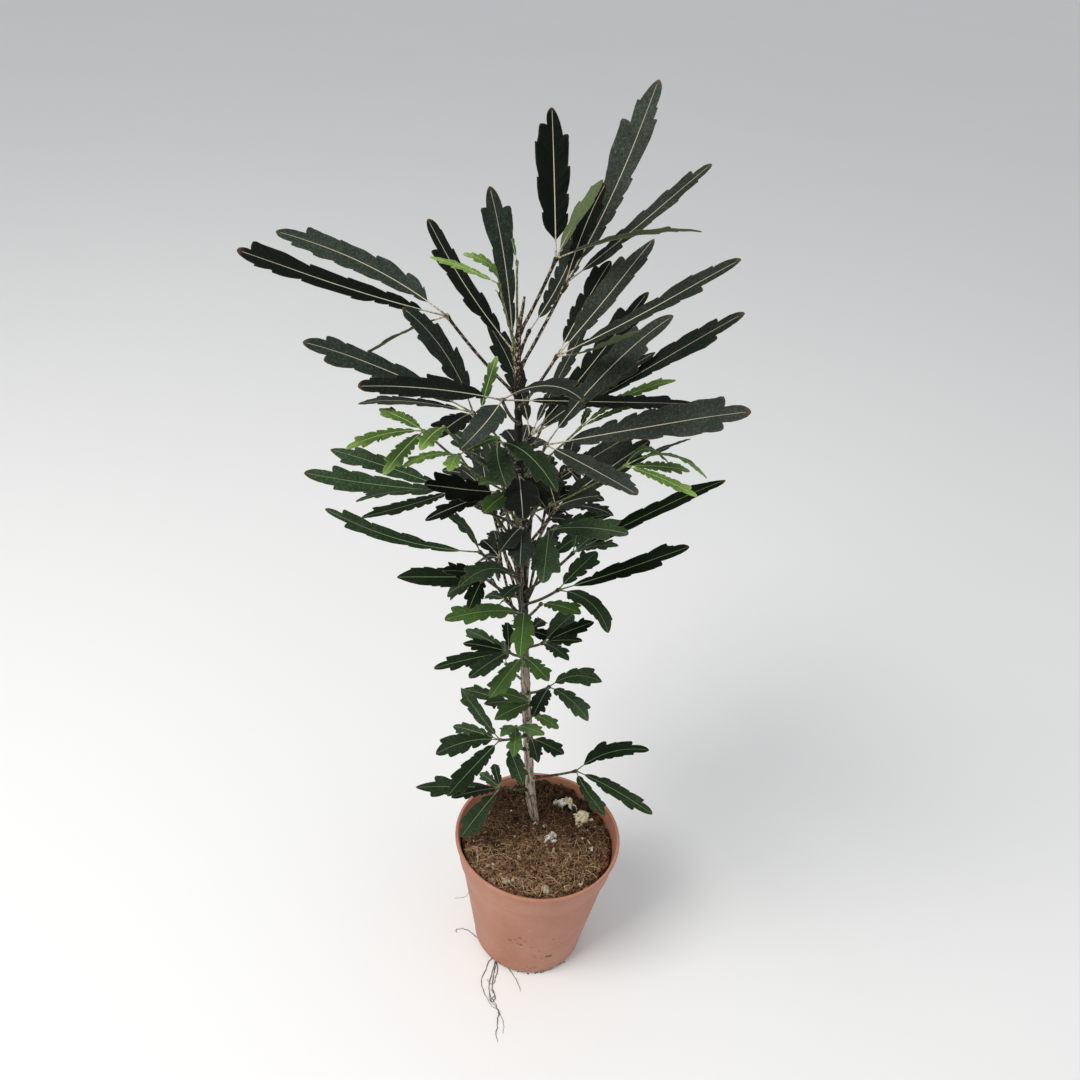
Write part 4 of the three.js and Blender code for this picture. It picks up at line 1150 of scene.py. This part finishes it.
def blade_material(tone):
    """Mottled and speckled above, and lighter with each leaflet's grey as painted sheen, paler below, with
    faint side veins and a worn margin and tip
    """
    upper, mottle_and_sheen, under, rib = TONES[tone]
    young = tone == "young"
    nodes = Nodes(f"blade_{tone}")
    vein, _, share = nodes.note("spot")
    edge, below, grey = nodes.note("tint")
    where = nodes.place()
    large = nodes.noise(where, 55.0)
    grain = nodes.noise(where, 1300.0, 2.0, 0.7)
    spots = nodes.noise(where, 780.0, 3.0, 0.7)
    line = nodes.ramp(nodes.math("PINGPONG", vein, 0.5), 0.42, 0.5)
    line = nodes.times(line, nodes.ramp(edge, 1.02, 0.75))
    speckle = nodes.times(nodes.ramp(spots, 0.42, 0.66), nodes.ramp(grain, 0.35, 0.7))
    # Painted sheen: each leaflet's grey lightens its upper side towards the mottle colour, together with its
    # own speckled mottle
    mottle_and_sheen_mix = nodes.times(grey, nodes.line(0.2, large, 0.8))
    mottle_and_sheen_mix = nodes.times(mottle_and_sheen_mix, nodes.line(0.75, speckle, 1.9))
    mottle_and_sheen_mix = nodes.plus(mottle_and_sheen_mix, nodes.times(speckle, 0.05), clamp=True)
    colour = nodes.mix(mottle_and_sheen_mix, upper, mottle_and_sheen)
    if young:
        fringe = nodes.times(nodes.ramp(edge, 0.82, 1.0), nodes.ramp(spots, 0.4, 0.6))
        fringe = nodes.plus(nodes.times(fringe, 0.4), nodes.ramp(share, 0.7, 1.1), clamp=True)
        colour = nodes.mix(nodes.times(fringe, 0.55), colour, YOUNG_FRINGE)
    lower = nodes.mix(nodes.times(speckle, 0.5), under, upper)
    lower = nodes.mix(nodes.times(line, 0.08), lower, rib)
    colour = nodes.mix(below, colour, lower)
    worn = nodes.times(nodes.ramp(edge, 0.9, 0.99), nodes.ramp(spots, 0.3, 0.6))
    worn = nodes.math("MAXIMUM", nodes.times(worn, 0.35), nodes.ramp(share, 0.965, 1.0, 0.6))
    colour = nodes.mix(worn, colour, YOUNG_WORN if young else WORN)
    height = nodes.plus(nodes.times(line, -0.5), nodes.times(grain, 0.5))
    height = nodes.line(height, spots, 0.6)
    return nodes.finish(colour, nodes.line(0.5, grain, 0.16), height, 0.55, 0.0005, 0.2 if young else 0.06)


def midrib_material(tone):
    """Pale, with dark specks on the stalk, and fading into the blade towards the tip"""
    rib = TONES[tone][3]
    nodes = Nodes(f"midrib_{tone}")
    share = nodes.note("spot")[2]
    speckle = nodes.noise(nodes.place(), 600.0, 3.0, 0.65)
    dark = nodes.times(nodes.ramp(speckle, 0.46, 0.58), nodes.ramp(share, 0.24, 0.0))
    faded = nodes.mix(nodes.ramp(share, 0.55, 1.0, 0.5), rib, TONES[tone][1])
    colour = nodes.mix(nodes.times(dark, 0.85), faded, STALK_SPECKS)
    return nodes.finish(colour, nodes.line(0.45, speckle, 0.15), speckle, 0.2, 0.0003, 0.3)


def petiole_material(tone):
    """Dark with broken cream flecks, or green where the growth is young"""
    nodes = Nodes(f"petiole_{tone}")
    along, turn, _ = nodes.note("spot")
    flecks = nodes.noise(nodes.stretched(along, 0.2, turn, 2.6), 1.7, 3.0, 0.65)
    streaks = nodes.noise(nodes.place(), 500.0, 2.0)
    pale, deep = PETIOLE_TONES[tone]
    colour = nodes.mix(nodes.ramp(nodes.line(flecks, streaks, 0.12), 0.59, 0.65), deep, pale)
    return nodes.finish(colour, nodes.line(0.45, streaks, 0.2), streaks, 0.25, 0.0003, 0.25)


def bark_material():
    """Grey-brown and cracked low down, then nearly black, and speckled with cream near the top"""
    nodes = Nodes("bark")
    along, turn, _ = nodes.note("spot")
    where = nodes.place()
    height = nodes.parts(where)[2]
    streaks = nodes.noise(nodes.stretched(along, 0.06, turn, 7.0), 1.8, 4.0, 0.65)
    grain = nodes.noise(where, 900.0, 3.0, 0.6)
    flecks = nodes.noise(nodes.stretched(along, 0.3, turn, 6.0), 1.7, 3.0, 0.6)
    low = nodes.mix(nodes.ramp(streaks, 0.36, 0.58), (0.090, 0.068, 0.048), (0.45, 0.38, 0.29))
    low = nodes.mix(nodes.ramp(grain, 0.55, 0.7, 0.8), low, (0.05, 0.037, 0.026))
    few = nodes.mix(nodes.ramp(flecks, 0.70, 0.74), (0.0075, 0.0062, 0.0048), (0.30, 0.24, 0.16))
    many = nodes.mix(nodes.ramp(flecks, 0.52, 0.58), (0.020, 0.014, 0.010), (0.42, 0.33, 0.21))
    colour = nodes.mix(nodes.ramp(height, 0.22, 0.32), low, few)
    colour = nodes.mix(nodes.ramp(height, 0.452, 0.472), colour, many)
    colour = nodes.mix(nodes.ramp(height, 0.112, 0.105, 0.5), colour, (0.06, 0.04, 0.025))
    return nodes.finish(colour, 0.72, nodes.line(streaks, grain, 0.5), 0.6, 0.0006, 0.25)


def pot_material():
    """Matt terracotta plastic with clouded colour, dust, specks and a little dirt low down"""
    nodes = Nodes("pot_plastic")
    where = nodes.place()
    height = nodes.parts(where)[2]
    cloud = nodes.noise(where, 22.0, 4.0, 0.6)
    dust = nodes.noise(where, 260.0, 3.0, 0.65)
    fine = nodes.noise(where, 1500.0, 2.0)
    colour = nodes.mix(nodes.ramp(cloud, 0.35, 0.7), (0.385, 0.160, 0.097), (0.440, 0.200, 0.130))
    colour = nodes.mix(nodes.ramp(dust, 0.5, 0.75, 0.25), colour, (0.53, 0.33, 0.24))
    patches = nodes.ramp(nodes.noise(where, 90.0, 3.0, 0.6), 0.56, 0.68)
    dirt = nodes.times(nodes.times(patches, nodes.ramp(height, 0.030, 0.0)), 0.5)
    for x, y, z, radius in POT_SPECKS:
        inputs = {0: where, 1: (x * MM, y * MM, z * MM)}
        apart = nodes.node("ShaderNodeVectorMath", inputs, operation="DISTANCE").outputs["Value"]
        reach = nodes.line(apart, fine, 0.0008)
        dot = nodes.ramp(reach, (radius + 0.7) * MM, (radius + 0.1) * MM, min(0.9, 0.1 + radius / 2))
        dirt = nodes.math("MAXIMUM", dirt, dot)
    colour = nodes.mix(dirt, colour, (0.16, 0.056, 0.032))
    return nodes.finish(
        colour, nodes.line(0.46, dust, 0.15), nodes.line(fine, dust, 0.6), 0.12, 0.0003, 0.4)


def soil_material():
    """Peat in dark and brown grains, darkened towards the back with painted shade"""
    nodes = Nodes("peat")
    where = nodes.place()
    # Painted shade: the soil darkens towards the back of the pot
    back = nodes.ramp(nodes.parts(where)[1], -0.012, 0.030, 0.7)
    large = nodes.noise(where, 60.0, 4.0, 0.6)
    grain = nodes.noise(where, 500.0, 4.0, 0.7)
    colour = nodes.mix(nodes.ramp(grain, 0.36, 0.66), (0.016, 0.008, 0.004), (0.23, 0.126, 0.067))
    colour = nodes.mix(nodes.ramp(large, 0.45, 0.7, 0.5), colour, (0.15, 0.088, 0.048))
    colour = nodes.mix(back, colour, (0.018, 0.010, 0.006))
    return nodes.finish(colour, 0.95, grain, 0.9, 0.0015, 0.1)


def crumb_material():
    nodes = Nodes("peat_crumbs")
    shade, _, seed = nodes.note("tint")
    grain = nodes.noise(nodes.place(), 700.0, 3.0, 0.7)
    colour = nodes.mix(nodes.ramp(shade, 0.1, 0.95), (0.026, 0.013, 0.007), (0.35, 0.200, 0.108))
    colour = nodes.mix(nodes.ramp(seed, 0.80, 0.96), colour, (0.56, 0.41, 0.25))
    colour = nodes.mix(nodes.times(grain, 0.45), colour, (0.075, 0.043, 0.022))
    return nodes.finish(colour, 0.95, grain, 0.8, 0.0008, 0.1)


def fibre_material():
    nodes = Nodes("coir")
    shade, _, seed = nodes.note("tint")
    grain = nodes.noise(nodes.place(), 800.0, 2.0)
    colour = nodes.mix(shade, (0.13, 0.062, 0.028), (0.52, 0.32, 0.165))
    colour = nodes.mix(nodes.ramp(seed, 0.8, 1.0), colour, (0.68, 0.54, 0.36))
    colour = nodes.mix(nodes.times(grain, 0.25), colour, (0.14, 0.08, 0.04))
    return nodes.finish(colour, 0.8, grain, 0.3, 0.0003, 0.25)


def lump_material():
    """White, cream or grey by its kind, and stained with peat"""
    nodes = Nodes("pale_lumps")
    kind, _, seed = nodes.note("tint")
    grain = nodes.noise(nodes.place(), 650.0, 3.0, 0.7)
    colour = nodes.mix(nodes.ramp(kind, 0.1, 0.4), (0.74, 0.72, 0.66), (0.80, 0.70, 0.46))
    colour = nodes.mix(nodes.ramp(kind, 0.6, 0.9), colour, (0.42, 0.36, 0.26))
    stain = nodes.math("MAXIMUM", nodes.ramp(grain, 0.52, 0.66, 0.55), nodes.ramp(seed, 0.72, 0.95, 0.75))
    colour = nodes.mix(stain, colour, (0.22, 0.14, 0.075))
    return nodes.finish(colour, 0.9, grain, 0.8, 0.0010, 0.2)


def root_material():
    nodes = Nodes("roots")
    grain = nodes.noise(nodes.place(), 600.0, 2.0)
    colour = nodes.mix(nodes.ramp(grain, 0.4, 0.65), (0.055, 0.045, 0.035), (0.16, 0.13, 0.10))
    return nodes.finish(colour, 0.8, grain, 0.3, 0.0003, 0.3)


# Floor, light and camera
def build_floor():
    nodes = Nodes("floor")
    cloud = nodes.noise(nodes.place(), 2.0, 2.0)
    nodes.finish(nodes.mix(cloud, (0.80, 0.80, 0.79), (0.83, 0.83, 0.82)), 0.6)
    mesh = bpy.data.meshes.new("floor")
    corners = [(-1, -1), (1, -1), (1, 1), (-1, 1)]
    mesh.from_pydata([(x * FLOOR_REACH, y * FLOOR_REACH, 0) for x, y in corners], [], [(0, 1, 2, 3)])
    mesh.materials.append(nodes.material)
    floor = link("floor", mesh)


def add_light(name, spot, size, power, colour, aim=(0, 0, 0.3)):
    """A square lamp that points at the middle of the plant"""
    data = bpy.data.lights.new(name, "AREA")
    data.size = size
    data.energy = power
    data.color = colour
    lamp = link(name, data)
    lamp.location = spot
    lamp.rotation_euler = (Vector(aim) - Vector(spot)).to_track_quat("-Z", "Y").to_euler()


def build_light():
    world = bpy.data.worlds.new("studio")
    world.use_nodes = True
    background = world.node_tree.nodes["Background"]
    background.inputs[0].default_value = (0.95, 0.97, 1.0, 1)
    background.inputs[1].default_value = 0.6
    bpy.context.scene.world = world
    bpy.context.scene.view_settings.view_transform = "Standard"
    add_light("key", (-0.9, -0.7, 1.7), 0.9, 30, (1.0, 0.98, 0.95))
    add_light("fill", (1.3, -0.9, 1.2), 1.6, 2.5, (0.95, 0.97, 1.0))


def build_camera():
    right, top, ahead = view_axes()
    data = bpy.data.cameras.new("camera")
    data.sensor_width = SENSOR
    data.lens = SENSOR * VIEW["focal"] / VIEW["size"]
    camera = link("camera", data)
    turn = Matrix([right, top, -ahead]).transposed().to_4x4()
    camera.matrix_world = Matrix.Translation(Vector(VIEW["eye"]) * MM) @ turn
    bpy.context.scene.camera = camera


build_camera()
build_light()
build_floor()
build_pot(pot_material())
build_soil(soil_material())
build_crumbs(crumb_material())
build_fibres(fibre_material())
build_lumps(lump_material())
build_roots(root_material())
build_stem(bark_material())
finishes = {tone: [blade_material(tone), midrib_material(tone), petiole_material(tone)] for tone in TONES}
for number, leaf in enumerate(LEAVES, 1):
    build_leaf(number, leaf, finishes[leaf[2]], f"fine_leaf_{number:02d}", [f"leaf_{number:02d}"])
for number, leaf in enumerate(INNER_LEAVES, INNER_SEED + 1):
    build_leaf(number, leaf, finishes[leaf[2]], f"inner_leaf_{number - INNER_SEED:02d}", [])
